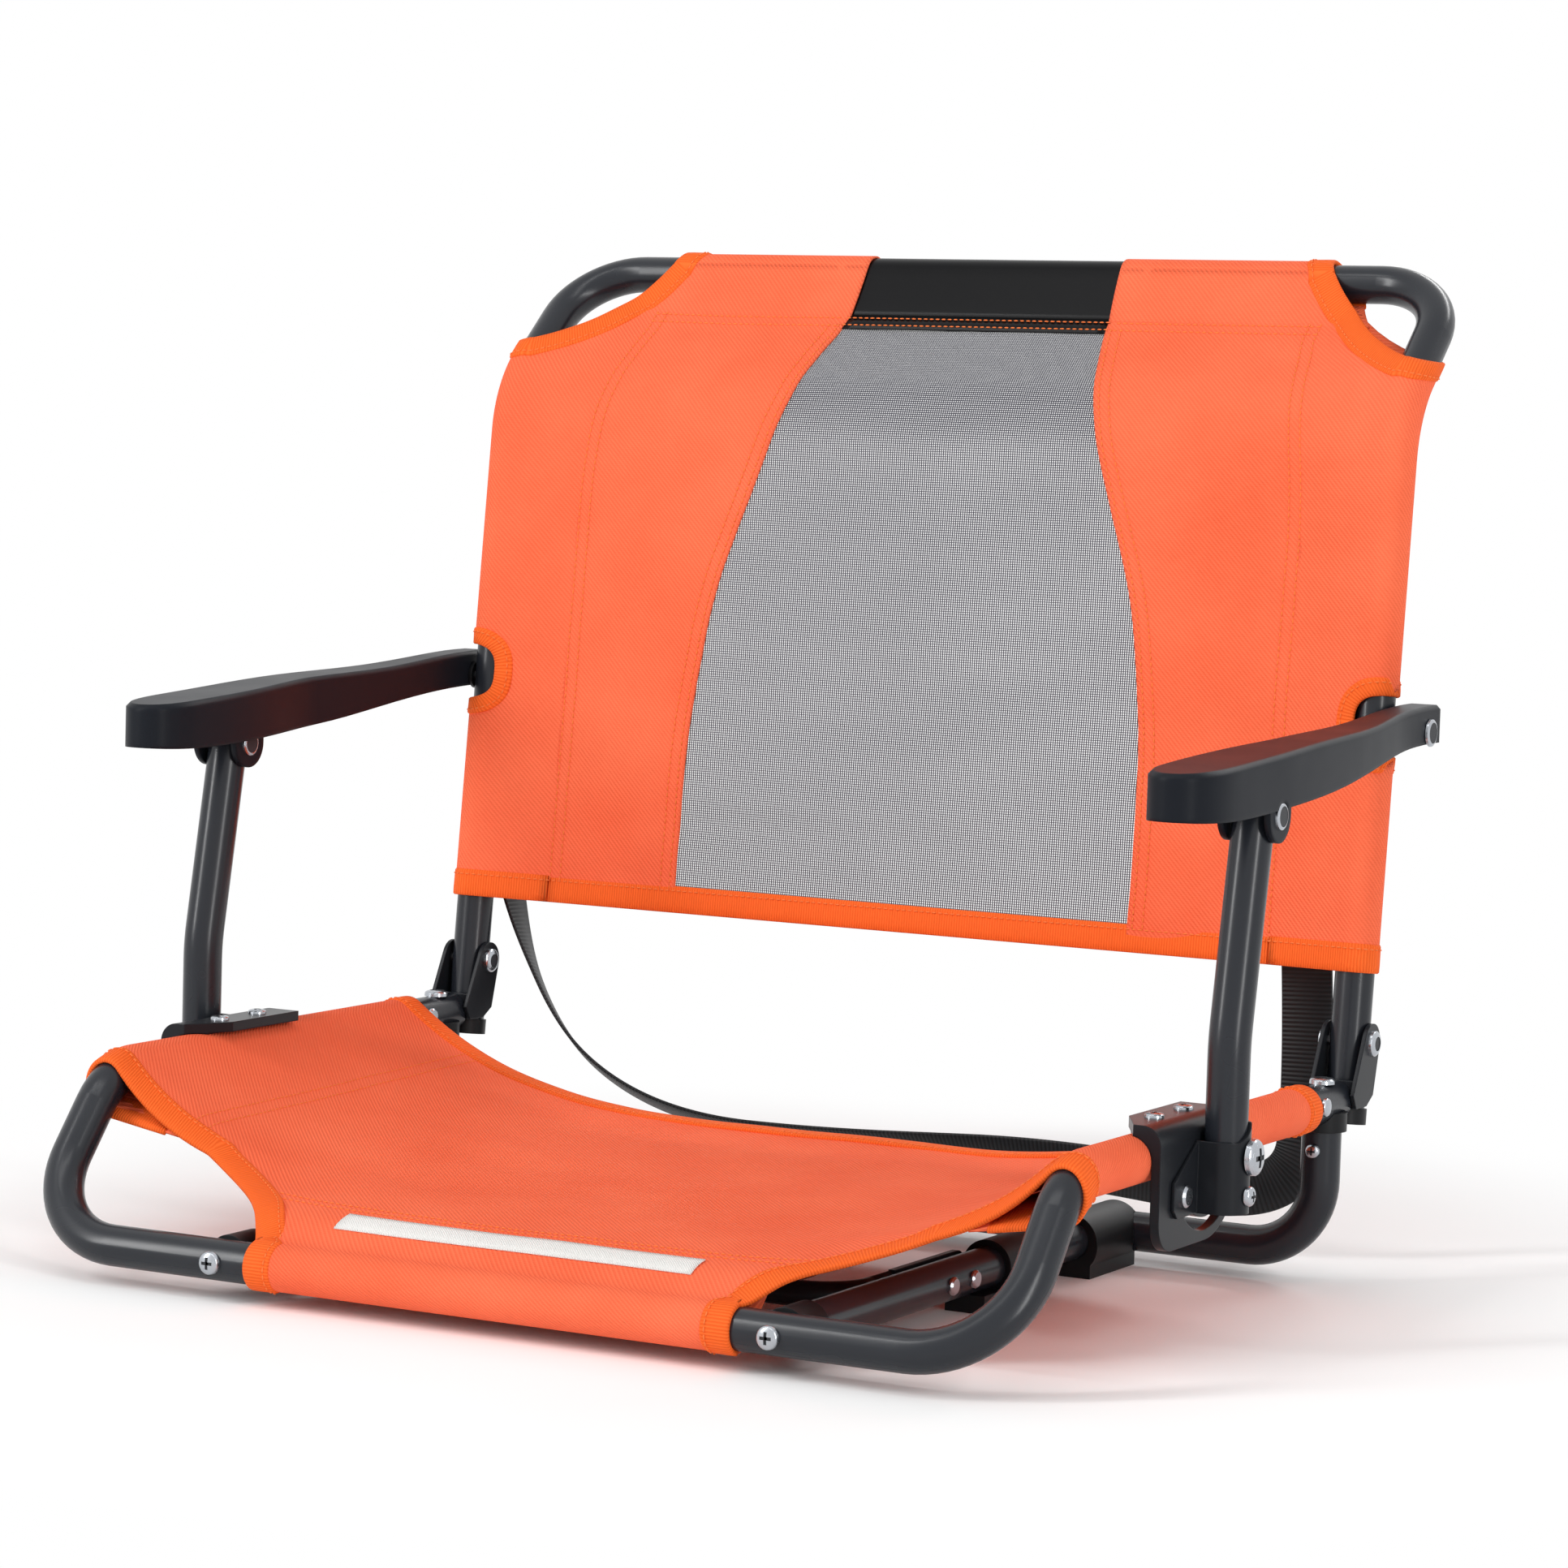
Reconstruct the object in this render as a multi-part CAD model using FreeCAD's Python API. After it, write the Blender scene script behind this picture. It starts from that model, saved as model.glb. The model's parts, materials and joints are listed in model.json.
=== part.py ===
"""Folding stadium seat: tube frame, two fabric slings and a four-bar armrest linkage, in mm.

The design frame has its origin on the axis of the front bar, at the middle of the seat. X points to
the seat's right as seen from the front, Y to the rear and Z up. Nodes are exported with the origin
moved to the middle of the footprint, at the height of the feet.
"""
import math
import os

import FreeCAD
import Part

os.makedirs("parts", exist_ok=True)

V = FreeCAD.Vector
X_AXIS = V(1, 0, 0)
Y_AXIS = V(0, 1, 0)
Z_AXIS = V(0, 0, 1)

# Fits
CLEAR = 0.3
FIT = 0.05

# Tubes
TUBE_R = 9.5
TUBE_WALL = 1.5
RAIL_X = 248.5
RAIL_Z = 70.0
FRONT_SLOPE = math.radians(51)
RAIL_BEND_R = 38.0
FRONT_CORNER_R = 45.0
BASE_Y = 341.5
BASE_Z = -1.8
BASE_CORNER_R = 34.6
UPRIGHT_TOP = 57.0
BENCH_Z = -18.0

# Back and hinge
HINGE_Y = 373.0
HINGE_Z = 96.0
BACK_TILT = math.radians(6)
TOP_TILT = math.radians(48)
BACK_RUN = 303.0
TOP_RUN = 94.0
BACK_BEND_R = 60.0
TOP_CORNER_R = 38.0
TAIL_RUN = 38.0
CAP_R = 10.7
CAP_RUN = (31.5, 39.2)
HINGE_PIN_R = 3.0
EAR_R = 9.5
BRACKET_IN = TUBE_R + CLEAR
BRACKET_OUT = BRACKET_IN + 2.0
EAR_FRONT = (351.0, 73.0)
EAR_REAR = (376.0, 71.0)
EAR_FOOT_Z = 66.3
END_PLATE = 3.0
PLUG_START = 296.0

# Armrest linkage, a parallelogram: hinge, arm bolt, lug bolt and arm pivot
LINK = 150.0
PIVOT_Y = 168.0
PIVOT_Z = 69.0
POST_X = 274.0
POST_FOOT = (165.5, 47.0)
POST_BEND_Z = 120.0
POST_BEND_R = 90.0
POST_OVER = 8.0
PIVOT_R = 4.0
BOLT_R = 3.0
LUG_GAP = TUBE_R + CLEAR
LUG_T = 2.8
LUG_R = 12.0
LUG_HEAD_R = 6.0
FLAT_HEAD_T = 1.4
ARM_WALL = 2.5
ARM_NOSE_Y = 100.0
ARM_REAR_X = (260.2, 277.0)
ARM_REAR_Y = 402.0
ARM_BEVEL = 2.0

# Clamp and socket
CLAMP_Y = (118.0, 197.0)
CLAMP_X = (238.0, 264.0)
CLAMP_TOP = 86.0
CLAMP_NOSE = (250.5, 23.0)
CLAMP_SHOULDER_R = 9.0
CLAMP_TOE_R = 14.0
CLAMP_SADDLE_R = 11.2
CLAMP_SCREWS_Y = (144.7, 176.4)
NOTCH_R = 31.5
NOTCH_W = 6.0
NOTCH_RIM = 4.5
NOTCH_FROM = 203.0
NOTCH_TO = 308.0
STOP_ANGLE = math.radians(210)
STOP_R = 2.5
SHEET = 1.5
SOCKET_Z = (44.0, 84.0)
SOCKET_FRONT_Z = 76.0
SOCKET_IN = TUBE_R + 0.1
FLANGE_Y = 130.0

# Slings
SLEEVE_IN = TUBE_R + CLEAR
SLEEVE_OUT = SLEEVE_IN + 1.1
SLEEVE_MID = (SLEEVE_IN + SLEEVE_OUT) / 2
CLOTH = 1.2
SEAT_SLEEVE_Y = (56.0, 313.0)
SEAT_RISE_RUN = 72.0
SEAT_CORNER = (158.0, 43.0)
FRONT_SLEEVE_X = 123.5
SEAT_REAR_Z = 33.0
SEAT_CROWN = 10.0
SEAT_CROWN_RUN = 14.0
SEAT_LEAVE = math.radians(37)
HEM_Z = 130.0
TOP_SLEEVE_X = 180.0
MESH_TOP_X = 78.0
NOTCH_Z = (226.0, 270.0)
ARM_NOTCH = 14.0
LABEL = (92.0, 13.0, 26.0)
LABEL_T = 0.6

# Base fittings
STRUT_X = 143.0
STRUT_Y = (26.0, 326.0)
HOOK_BAR_Y = 88.0
HOOK_BAR_R = 6.0
HOOK_BAR_BEND_R = 25.0
LEG_THICK = 3.0
LEG_HEIGHT = 16.0
LEG_REAR = 197.0
STRUT_RIVETS_Y = (146.0, 168.0)
HOOK_R = 4.0
HOOK_REACH = 80.0
HOOK_TOE = 42.0
HOOK_BEND_R = 12.0
HOOK_EYE_R = 8.0
HOOK_PIN_R = 3.0
HOOK_EYE_HALF = HOOK_R + 0.5
LUG_REACH = 6.0

# Fasteners
SCREW_R = 2.0
HEAD_R = 4.2
HEAD_T = 2.4
RIVET_R = 2.5
RAIL_SCREW_Y = 340.0
RAIL_RIVET_Y = 321.0
RAIL_RIVET_Z = RAIL_Z + 1
BASE_SCREW_Z = 48.0
BASE_HEAD_R = 3.3
SOCKET_SCREW_Z = 52.0

# Carry strap: flat webbing, centre line in a plane of constant y
STRAP_Y = 400.0
STRAP_W = 25.0
STRAP_T = 2.0
STRAP_XZ = (
    (-242, 140), (-226, 70), (-150, 14), (-20, 0), (95, 3), (172, 16), (218, 72), (213, 148),
)

TILT = V(0, math.sin(BACK_TILT), math.cos(BACK_TILT))
KNEE = V(RAIL_X, RAIL_Z / math.tan(FRONT_SLOPE), RAIL_Z)
HINGE = V(RAIL_X, HINGE_Y, HINGE_Z)
BEND = HINGE + TILT * BACK_RUN
TOP = BEND + V(0, math.sin(TOP_TILT), math.cos(TOP_TILT)) * TOP_RUN
ARM_BOLT = HINGE + TILT * LINK
LUG_BOLT = V(POST_X, PIVOT_Y, PIVOT_Z) + TILT * LINK
TAIL_AT_RAIL = HINGE_Y - (HINGE_Z - RAIL_Z + TUBE_R) * math.tan(BACK_TILT)
RAIL_END = TAIL_AT_RAIL - CAP_R / math.cos(BACK_TILT) - CLEAR
FRONT_REACH = -(TUBE_R + HEAD_T)
REAR_REACH = TOP.y + SLEEVE_OUT
TO_PART_FRAME = V(0, -(FRONT_REACH + REAR_REACH) / 2, -BENCH_Z)


def put(name, shape):
    """Export one node in the part's frame."""
    moved = shape.copy()
    moved.translate(TO_PART_FRAME)
    moved.exportStep(f"parts/{name}.step")


def mirrored(shape):
    """Return the shape's twin on the other side of the middle plane."""
    return shape.mirror(V(0, 0, 0), X_AXIS)


def put_pair(name, right):
    """Export a right-hand shape and its left-hand twin as two nodes."""
    put(f"{name}_right", right)
    put(f"{name}_left", mirrored(right))


def put_group(name, right_solids):
    """Export identical fasteners of both sides as one node."""
    put(name, Part.makeCompound(right_solids + [mirrored(solid) for solid in right_solids]))


def rod(start, end, radius):
    """Return a round bar between two points."""
    run = end - start
    return Part.makeCylinder(radius, run.Length, start, run)


def cross_bar(y, z, x_from, x_to, radius):
    """Return a round bar along X."""
    return rod(V(x_from, y, z), V(x_to, y, z), radius)


def box(x_span, y_span, z_span):
    """Return a box from three (low, high) spans."""
    low = V(x_span[0], y_span[0], z_span[0])
    return Part.makeBox(x_span[1] - x_span[0], y_span[1] - y_span[0], z_span[1] - z_span[0], low)


def plate(outline, x_span):
    """Return a flat plate across X from an outline of (y, z) points."""
    corners = [V(x_span[0], y, z) for y, z in outline]
    face = Part.Face(Part.makePolygon(corners + corners[:1]))
    return face.extrude(X_AXIS * (x_span[1] - x_span[0]))


def curve(points, **ends):
    """Return one smooth edge through the points, with tangents at its ends if they are given."""
    spline = Part.BSplineCurve()
    spline.interpolate(points, **ends)
    return spline.toShape()


def bent_path(points, radii):
    """Return a wire of straight runs joined by tangent arcs, with one radius for each inner point."""
    edges = []
    start = points[0]
    for before, corner, after, radius in zip(points, points[1:], points[2:], radii):
        back = (before - corner).normalize()
        ahead = (after - corner).normalize()
        half_turn = (math.pi - back.getAngle(ahead)) / 2
        setback = radius * math.tan(half_turn)
        inward = (back + ahead).normalize()
        first = corner + back * setback
        last = corner + ahead * setback
        middle = corner + inward * (radius / math.cos(half_turn) - radius)
        edges.append(Part.makeLine(start, first))
        edges.append(Part.Arc(first, middle, last).toShape())
        start = last
    edges.append(Part.makeLine(start, points[-1]))
    return Part.Wire(edges)


def bent_rod(points, radii, radius):
    """Return a solid round bar swept along a bent path."""
    section = Part.Wire(Part.makeCircle(radius, points[0], points[1] - points[0]))
    return bent_path(points, radii).makePipeShell([section], True, False)


def bent_tube(points, radii, radius=TUBE_R):
    """Return a hollow tube along a bent path."""
    return bent_rod(points, radii, radius).cut(bent_rod(points, radii, radius - TUBE_WALL))


def screw(seat, inward, length, head_r=HEAD_R, head_t=HEAD_T, shank_r=SCREW_R):
    """Return a screw or rivet whose head sits at a point, with its shank pointing inward."""
    out = V(inward).normalize() * -1
    head = Part.makeCylinder(head_r, head_t, seat, out)
    rim = [edge for edge in head.Edges if (edge.CenterOfMass - seat).dot(out) > 0.9 * head_t]
    head = head.makeChamfer(0.45 * head_t, rim[:1])
    return head.fuse(Part.makeCylinder(shank_r, length, seat, out * -1))


def drilled(shape, drills):
    """Return the shape with round holes taken out."""
    for drill in drills:
        shape = shape.cut(drill)
    return shape


def on_both_sides(drills):
    """Return the drills with their mirrored twins."""
    return drills + [mirrored(drill) for drill in drills]


def rail_drills():
    """Return the holes of the right rail: clamp screws, rail screw and rail rivet."""
    tops = [rod(V(RAIL_X, y, RAIL_Z), V(RAIL_X, y, CLAMP_TOP), SCREW_R + FIT) for y in CLAMP_SCREWS_Y]
    rear = rod(V(RAIL_X, RAIL_SCREW_Y, RAIL_Z), V(RAIL_X, RAIL_SCREW_Y, CLAMP_TOP), SCREW_R + FIT)
    rivet = cross_bar(RAIL_RIVET_Y, RAIL_RIVET_Z, RAIL_X - 15, RAIL_X + 15, RIVET_R + FIT)
    return tops + [rear, rivet]


def front_drill():
    """Return the hole for the screw that joins front bar, saddle and strut."""
    return rod(V(STRUT_X, -2 * TUBE_R, 0), V(STRUT_X, STRUT_Y[0] + 10, 0), SCREW_R + FIT)


def seat_tube():
    """Return the seat tube: two rails that slope down to the front bar."""
    right = [V(RAIL_X, RAIL_END - END_PLATE, RAIL_Z), KNEE, V(RAIL_X, 0, 0)]
    left = [V(-point.x, point.y, point.z) for point in reversed(right)]
    radii = (RAIL_BEND_R, FRONT_CORNER_R, FRONT_CORNER_R, RAIL_BEND_R)
    tube = bent_tube(right + left, radii)
    return drilled(tube, on_both_sides(rail_drills() + [front_drill()]))


def base_drill():
    """Return the hole for the screw through an upright and its saddle plug."""
    start = V(RAIL_X, BASE_Y - 2 * TUBE_R, BASE_SCREW_Z)
    return rod(start, V(RAIL_X, BASE_Y, BASE_SCREW_Z), SCREW_R + FIT)


def base_tube():
    """Return the low rear tube with its two uprights."""
    right = [V(RAIL_X, BASE_Y, UPRIGHT_TOP), V(RAIL_X, BASE_Y, BASE_Z)]
    left = [V(-point.x, point.y, point.z) for point in reversed(right)]
    return drilled(bent_tube(right + left, (BASE_CORNER_R, BASE_CORNER_R)), on_both_sides([base_drill()]))


def rail_saddle():
    """Return the plastic saddle between an upright and its rail, with a plug in the upright."""
    foot = V(RAIL_X, BASE_Y, UPRIGHT_TOP)
    seat = Part.makeCylinder(BRACKET_OUT, EAR_FOOT_Z - CLEAR - UPRIGHT_TOP, foot)
    rail = rod(V(RAIL_X, BASE_Y - 30, RAIL_Z), V(RAIL_X, RAIL_END + 5, RAIL_Z), TUBE_R + FIT)
    plug = Part.makeCylinder(TUBE_R - TUBE_WALL - FIT, 16, foot, Z_AXIS * -1)
    return seat.cut(rail).fuse(plug).cut(base_drill()).removeSplitter()


def strut():
    """Return a strut with its rivet holes and an open front end."""
    tube = rod(V(STRUT_X, STRUT_Y[0], 0), V(STRUT_X, STRUT_Y[1], 0), TUBE_R)
    bore = rod(V(STRUT_X, STRUT_Y[0], 0), V(STRUT_X, STRUT_Y[1], 0), TUBE_R - TUBE_WALL)
    drills = [cross_bar(y, 0, STRUT_X - 20, STRUT_X + 20, RIVET_R + FIT) for y in STRUT_RIVETS_Y]
    return drilled(tube.cut(bore), drills)


def front_saddle():
    """Return the plastic end that seats a strut against the front bar."""
    start = V(STRUT_X, 5, 0)
    body = rod(start, V(STRUT_X, STRUT_Y[0], 0), TUBE_R + 1.2)
    plug = rod(start, V(STRUT_X, STRUT_Y[0] + 18, 0), TUBE_R - TUBE_WALL - FIT)
    bar = cross_bar(0, 0, STRUT_X - 20, STRUT_X + 20, TUBE_R + FIT)
    return body.fuse(plug).cut(bar).cut(front_drill()).removeSplitter()


def foot_block(y_span, width):
    """Return the flat pad under a strut fitting, down to the bench."""
    return box((STRUT_X - width / 2, STRUT_X + width / 2), y_span, (BENCH_Z, -TUBE_R))


def rear_foot():
    """Return the plastic foot that holds a strut's rear end and saddles the base tube."""
    body = rod(V(STRUT_X, 290, -2), V(STRUT_X, BASE_Y, -2), 14.5)
    foot = body.fuse(foot_block((290, BASE_Y), 22))
    base = cross_bar(BASE_Y, BASE_Z, STRUT_X - 30, STRUT_X + 30, TUBE_R + FIT)
    hole = rod(V(STRUT_X, 280, 0), V(STRUT_X, STRUT_Y[1] + FIT, 0), TUBE_R + FIT)
    return foot.cut(base).cut(hole).removeSplitter()


def mid_foot():
    """Return the plastic collar foot in the middle of a strut, with a lip to the front."""
    collar = rod(V(STRUT_X, 200, 0), V(STRUT_X, 240, 0), TUBE_R + 3)
    foot = collar.fuse(foot_block((178, 240), 20))
    hole = rod(V(STRUT_X, 150, 0), V(STRUT_X, 260, 0), TUBE_R + FIT)
    return foot.cut(hole).removeSplitter()


def hook_bar():
    """Return the cross bar whose ends are bent back and pressed flat along the struts."""
    face_x = STRUT_X - TUBE_R - CLEAR
    leg_x = face_x - LEG_THICK / 2
    bend_x = face_x - HOOK_BAR_R
    neck_y = HOOK_BAR_Y + HOOK_BAR_BEND_R + 0.5
    flat_y = neck_y + 14
    right = [V(bend_x, neck_y, 0), V(bend_x, HOOK_BAR_Y, 0)]
    left = [V(-point.x, point.y, point.z) for point in reversed(right)]
    bar = bent_rod(right + left, (HOOK_BAR_BEND_R, HOOK_BAR_BEND_R), HOOK_BAR_R)
    drills = [cross_bar(y, 0, leg_x - 10, leg_x + 10, RIVET_R + FIT) for y in STRUT_RIVETS_Y]
    flat = V(leg_x, flat_y, 0)
    tip_y = LEG_REAR - LEG_HEIGHT / 2
    wide, tall = LEG_THICK / 2, LEG_HEIGHT / 2
    neck = Part.makeLoft(
        [
            Part.Wire(Part.makeCircle(HOOK_BAR_R, right[0], Y_AXIS)),
            Part.Wire(Part.Ellipse(flat + Z_AXIS * tall, flat + X_AXIS * wide, flat).toShape()),
        ],
        True,
    )
    blade = box((leg_x - wide, leg_x + wide), (flat_y - 2, tip_y), (-tall, tall))
    tip = cross_bar(tip_y, 0, leg_x - wide, leg_x + wide, tall)
    leg = drilled(blade.fuse(tip), drills).fuse(neck)
    return bar.fuse(leg).fuse(mirrored(leg)).removeSplitter()


def hook_plane():
    """Return the y of the bench hook's plane, behind the hook bar."""
    return HOOK_BAR_Y + HOOK_BAR_R + LUG_REACH + CLEAR + HOOK_EYE_HALF


def hook_lug():
    """Return the lug fixed on the hook bar, with the headed pin that carries the bench hook."""
    face_y = HOOK_BAR_Y + HOOK_BAR_R + LUG_REACH
    body = box((-10, 10), (HOOK_BAR_Y - HOOK_BAR_R - 3, face_y), (-10, 10))
    body = body.makeFillet(3, [edge for edge in body.Edges if edge.BoundBox.XLength > 10])
    body = body.cut(cross_bar(HOOK_BAR_Y, 0, -20, 20, HOOK_BAR_R + FIT))
    head_y = hook_plane() + HOOK_EYE_HALF + CLEAR
    pin = rod(V(0, face_y - 1, 0), V(0, head_y, 0), HOOK_PIN_R)
    head = rod(V(0, head_y, 0), V(0, head_y + 2.5, 0), HOOK_PIN_R + 2.5)
    return body.fuse(pin).fuse(head).removeSplitter()


def bench_hook():
    """Return the hook: an eye on the pin, an arm stored along the bar and a toe to the rear."""
    y = hook_plane()
    arm = [V(HOOK_EYE_R - 2, y, 0), V(HOOK_REACH, y, 0), V(HOOK_REACH, y + HOOK_TOE, 0)]
    eye = rod(V(0, y - HOOK_EYE_HALF, 0), V(0, y + HOOK_EYE_HALF, 0), HOOK_EYE_R)
    hole = rod(V(0, y - 10, 0), V(0, y + 10, 0), HOOK_PIN_R + FIT)
    return eye.fuse(bent_rod(arm, (HOOK_BEND_R,), HOOK_R)).cut(hole).removeSplitter()


def ear_tangent(corner, side):
    """Return the point where a line from an ear's corner touches its round end, on one side."""
    away = math.atan2(corner[1] - HINGE_Z, corner[0] - HINGE_Y)
    angle = away + side * math.acos(EAR_R / math.dist(corner, (HINGE_Y, HINGE_Z)))
    return HINGE_Y + EAR_R * math.cos(angle), HINGE_Z + EAR_R * math.sin(angle)


def hinge_bracket():
    """Return the hinge bracket: a plug in the rail, an end plate and two ears that carry the back."""
    outline = [
        EAR_FRONT, (EAR_FRONT[0] + 4, EAR_FOOT_Z), (EAR_REAR[0] - 8, EAR_FOOT_Z), EAR_REAR,
        ear_tangent(EAR_REAR, 1), ear_tangent(EAR_FRONT, -1),
    ]
    outer = (RAIL_X - BRACKET_OUT, RAIL_X + BRACKET_OUT)
    inner = (RAIL_X - BRACKET_IN, RAIL_X + BRACKET_IN)
    ears = plate(outline, outer).fuse(cross_bar(HINGE_Y, HINGE_Z, outer[0], outer[1], EAR_R))
    ears = ears.cut(plate([(300, 50), (400, 50), (400, 120), (300, 120)], inner))
    end_plate = box(outer, (RAIL_END - END_PLATE, RAIL_END), (EAR_FOOT_Z, RAIL_Z + TUBE_R))
    plug_r = TUBE_R - TUBE_WALL - FIT
    plug = rod(V(RAIL_X, PLUG_START, RAIL_Z), V(RAIL_X, RAIL_END, RAIL_Z), plug_r)
    pin = cross_bar(HINGE_Y, HINGE_Z, outer[0] - 1, outer[1] + 1, HINGE_PIN_R + FIT)
    return drilled(ears.fuse(end_plate).fuse(plug).removeSplitter(), rail_drills() + [pin])


def hinge_pin():
    """Return the hinge pin with a head outside each ear."""
    ends = (RAIL_X - BRACKET_OUT - FIT, RAIL_X + BRACKET_OUT + FIT)
    pin = cross_bar(HINGE_Y, HINGE_Z, ends[0], ends[1], HINGE_PIN_R)
    inner = screw(V(ends[0], HINGE_Y, HINGE_Z), X_AXIS, 1, 6.0, 2.2, HINGE_PIN_R)
    outer = screw(V(ends[1], HINGE_Y, HINGE_Z), X_AXIS * -1, 1, 6.0, 2.2, HINGE_PIN_R)
    return pin.fuse(inner).fuse(outer).removeSplitter()


def arm_clamp():
    """Return the clamp over a rail, whose outer leg has the notch that the stop pin runs in."""
    rim_r = NOTCH_R + NOTCH_W / 2 + NOTCH_RIM
    leg_x = (RAIL_X + CLAMP_SADDLE_R, CLAMP_X[1])
    nose_x, nose_run = CLAMP_NOSE
    plan = [
        V(nose_x, CLAMP_Y[0], RAIL_Z - 8), V(CLAMP_X[1], CLAMP_Y[0], RAIL_Z - 8),
        V(CLAMP_X[1], CLAMP_Y[1], RAIL_Z - 8), V(CLAMP_X[0], CLAMP_Y[1], RAIL_Z - 8),
        V(CLAMP_X[0], CLAMP_Y[0] + nose_run, RAIL_Z - 8),
    ]
    cover = Part.Face(Part.makePolygon(plan + plan[:1])).extrude(Z_AXIS * (CLAMP_TOP - RAIL_Z + 8))
    shoulder = [
        edge for edge in cover.Edges
        if abs(edge.CenterOfMass.z - CLAMP_TOP) < 0.1 and abs(edge.CenterOfMass.x - CLAMP_X[1]) < 0.1
    ]
    cover = cover.makeFillet(CLAMP_SHOULDER_R, shoulder)
    under = box((CLAMP_X[0] - 1, leg_x[0]), (CLAMP_Y[0] - 1, CLAMP_Y[1] + 1), (50, RAIL_Z))
    web_gap = box((CLAMP_X[0] - 1, RAIL_X - 4), (0, 300), (0, RAIL_Z + CLAMP_SADDLE_R))
    rail = rod(V(RAIL_X, 100, RAIL_Z), V(RAIL_X, 220, RAIL_Z), CLAMP_SADDLE_R)
    front_y, rear_y = CLAMP_Y
    low_z = PIVOT_Z - rim_r
    front = plate([(front_y, RAIL_Z), (front_y, low_z), (PIVOT_Y, low_z), (PIVOT_Y, RAIL_Z)], leg_x)
    toe = [
        edge for edge in front.Edges
        if abs(edge.CenterOfMass.y - front_y) < 0.1 and abs(edge.CenterOfMass.z - low_z) < 0.1
    ]
    front = front.makeFillet(CLAMP_TOE_R, toe)
    tip = math.radians(NOTCH_TO)
    rear = plate(
        [
            (PIVOT_Y, RAIL_Z), (PIVOT_Y, PIVOT_Z - 2 * rim_r),
            (PIVOT_Y + 2 * rim_r * math.cos(tip), PIVOT_Z + 2 * rim_r * math.sin(tip)),
            (rear_y, RAIL_Z - 8), (rear_y, RAIL_Z),
        ],
        leg_x,
    ).common(cross_bar(PIVOT_Y, PIVOT_Z, leg_x[0], leg_x[1], rim_r))
    outer = cross_bar(PIVOT_Y, PIVOT_Z, leg_x[0] - 1, leg_x[1] + 1, NOTCH_R + NOTCH_W / 2)
    inner = cross_bar(PIVOT_Y, PIVOT_Z, leg_x[0] - 1, leg_x[1] + 1, NOTCH_R - NOTCH_W / 2)
    reach = 2 * rim_r
    swept = [
        (PIVOT_Y + reach * math.cos(math.radians(angle)), PIVOT_Z + reach * math.sin(math.radians(angle)))
        for angle in (NOTCH_FROM, 240, 280, 330)
    ]
    notch = outer.cut(inner).common(plate([(PIVOT_Y, PIVOT_Z)] + swept, (leg_x[0] - 2, leg_x[1] + 2)))
    end_y = PIVOT_Y + NOTCH_R * math.cos(math.radians(NOTCH_FROM))
    end_z = PIVOT_Z + NOTCH_R * math.sin(math.radians(NOTCH_FROM))
    round_end = cross_bar(end_y, end_z, leg_x[0] - 1, leg_x[1] + 1, NOTCH_W / 2)
    pivot = cross_bar(PIVOT_Y, PIVOT_Z, leg_x[0] - 1, leg_x[1] + 1, PIVOT_R + FIT)
    body = cover.fuse(front).fuse(rear).cut(under).cut(web_gap).cut(rail).cut(notch).cut(round_end).cut(pivot)
    return drilled(body.removeSplitter(), rail_drills()[:2])


def arm_pivot():
    """Return the large screw that the post turns on, fixed in the clamp's leg."""
    head_x = POST_X + SOCKET_IN + SHEET + CLEAR
    length = head_x - RAIL_X - CLAMP_SADDLE_R
    return screw(V(head_x, PIVOT_Y, PIVOT_Z), X_AXIS * -1, length, 8.0, 3.5, PIVOT_R)


def post_axis():
    """Return the points of a post's centre line, from its foot to just past the lug bolt."""
    foot = V(POST_X, POST_FOOT[0], POST_FOOT[1])
    bend = V(POST_X, POST_FOOT[0], POST_BEND_Z)
    lean = (LUG_BOLT - bend).normalize()
    return [foot, bend, LUG_BOLT + lean * POST_OVER]


def stop_point():
    """Return the y and z of the stop pin in its rest place."""
    return PIVOT_Y + NOTCH_R * math.cos(STOP_ANGLE), PIVOT_Z + NOTCH_R * math.sin(STOP_ANGLE)


def post():
    """Return the bent tube of an arm post with its cross holes."""
    pivot = cross_bar(PIVOT_Y, PIVOT_Z, POST_X - 20, POST_X + 20, PIVOT_R + FIT)
    bolt = cross_bar(LUG_BOLT.y, LUG_BOLT.z, POST_X - 20, POST_X + 20, BOLT_R + FIT)
    small = cross_bar(POST_FOOT[0], SOCKET_SCREW_Z, POST_X, POST_X + 20, SCREW_R + FIT)
    return drilled(bent_tube(post_axis(), (POST_BEND_R,)), [pivot, bolt, small])


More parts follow.
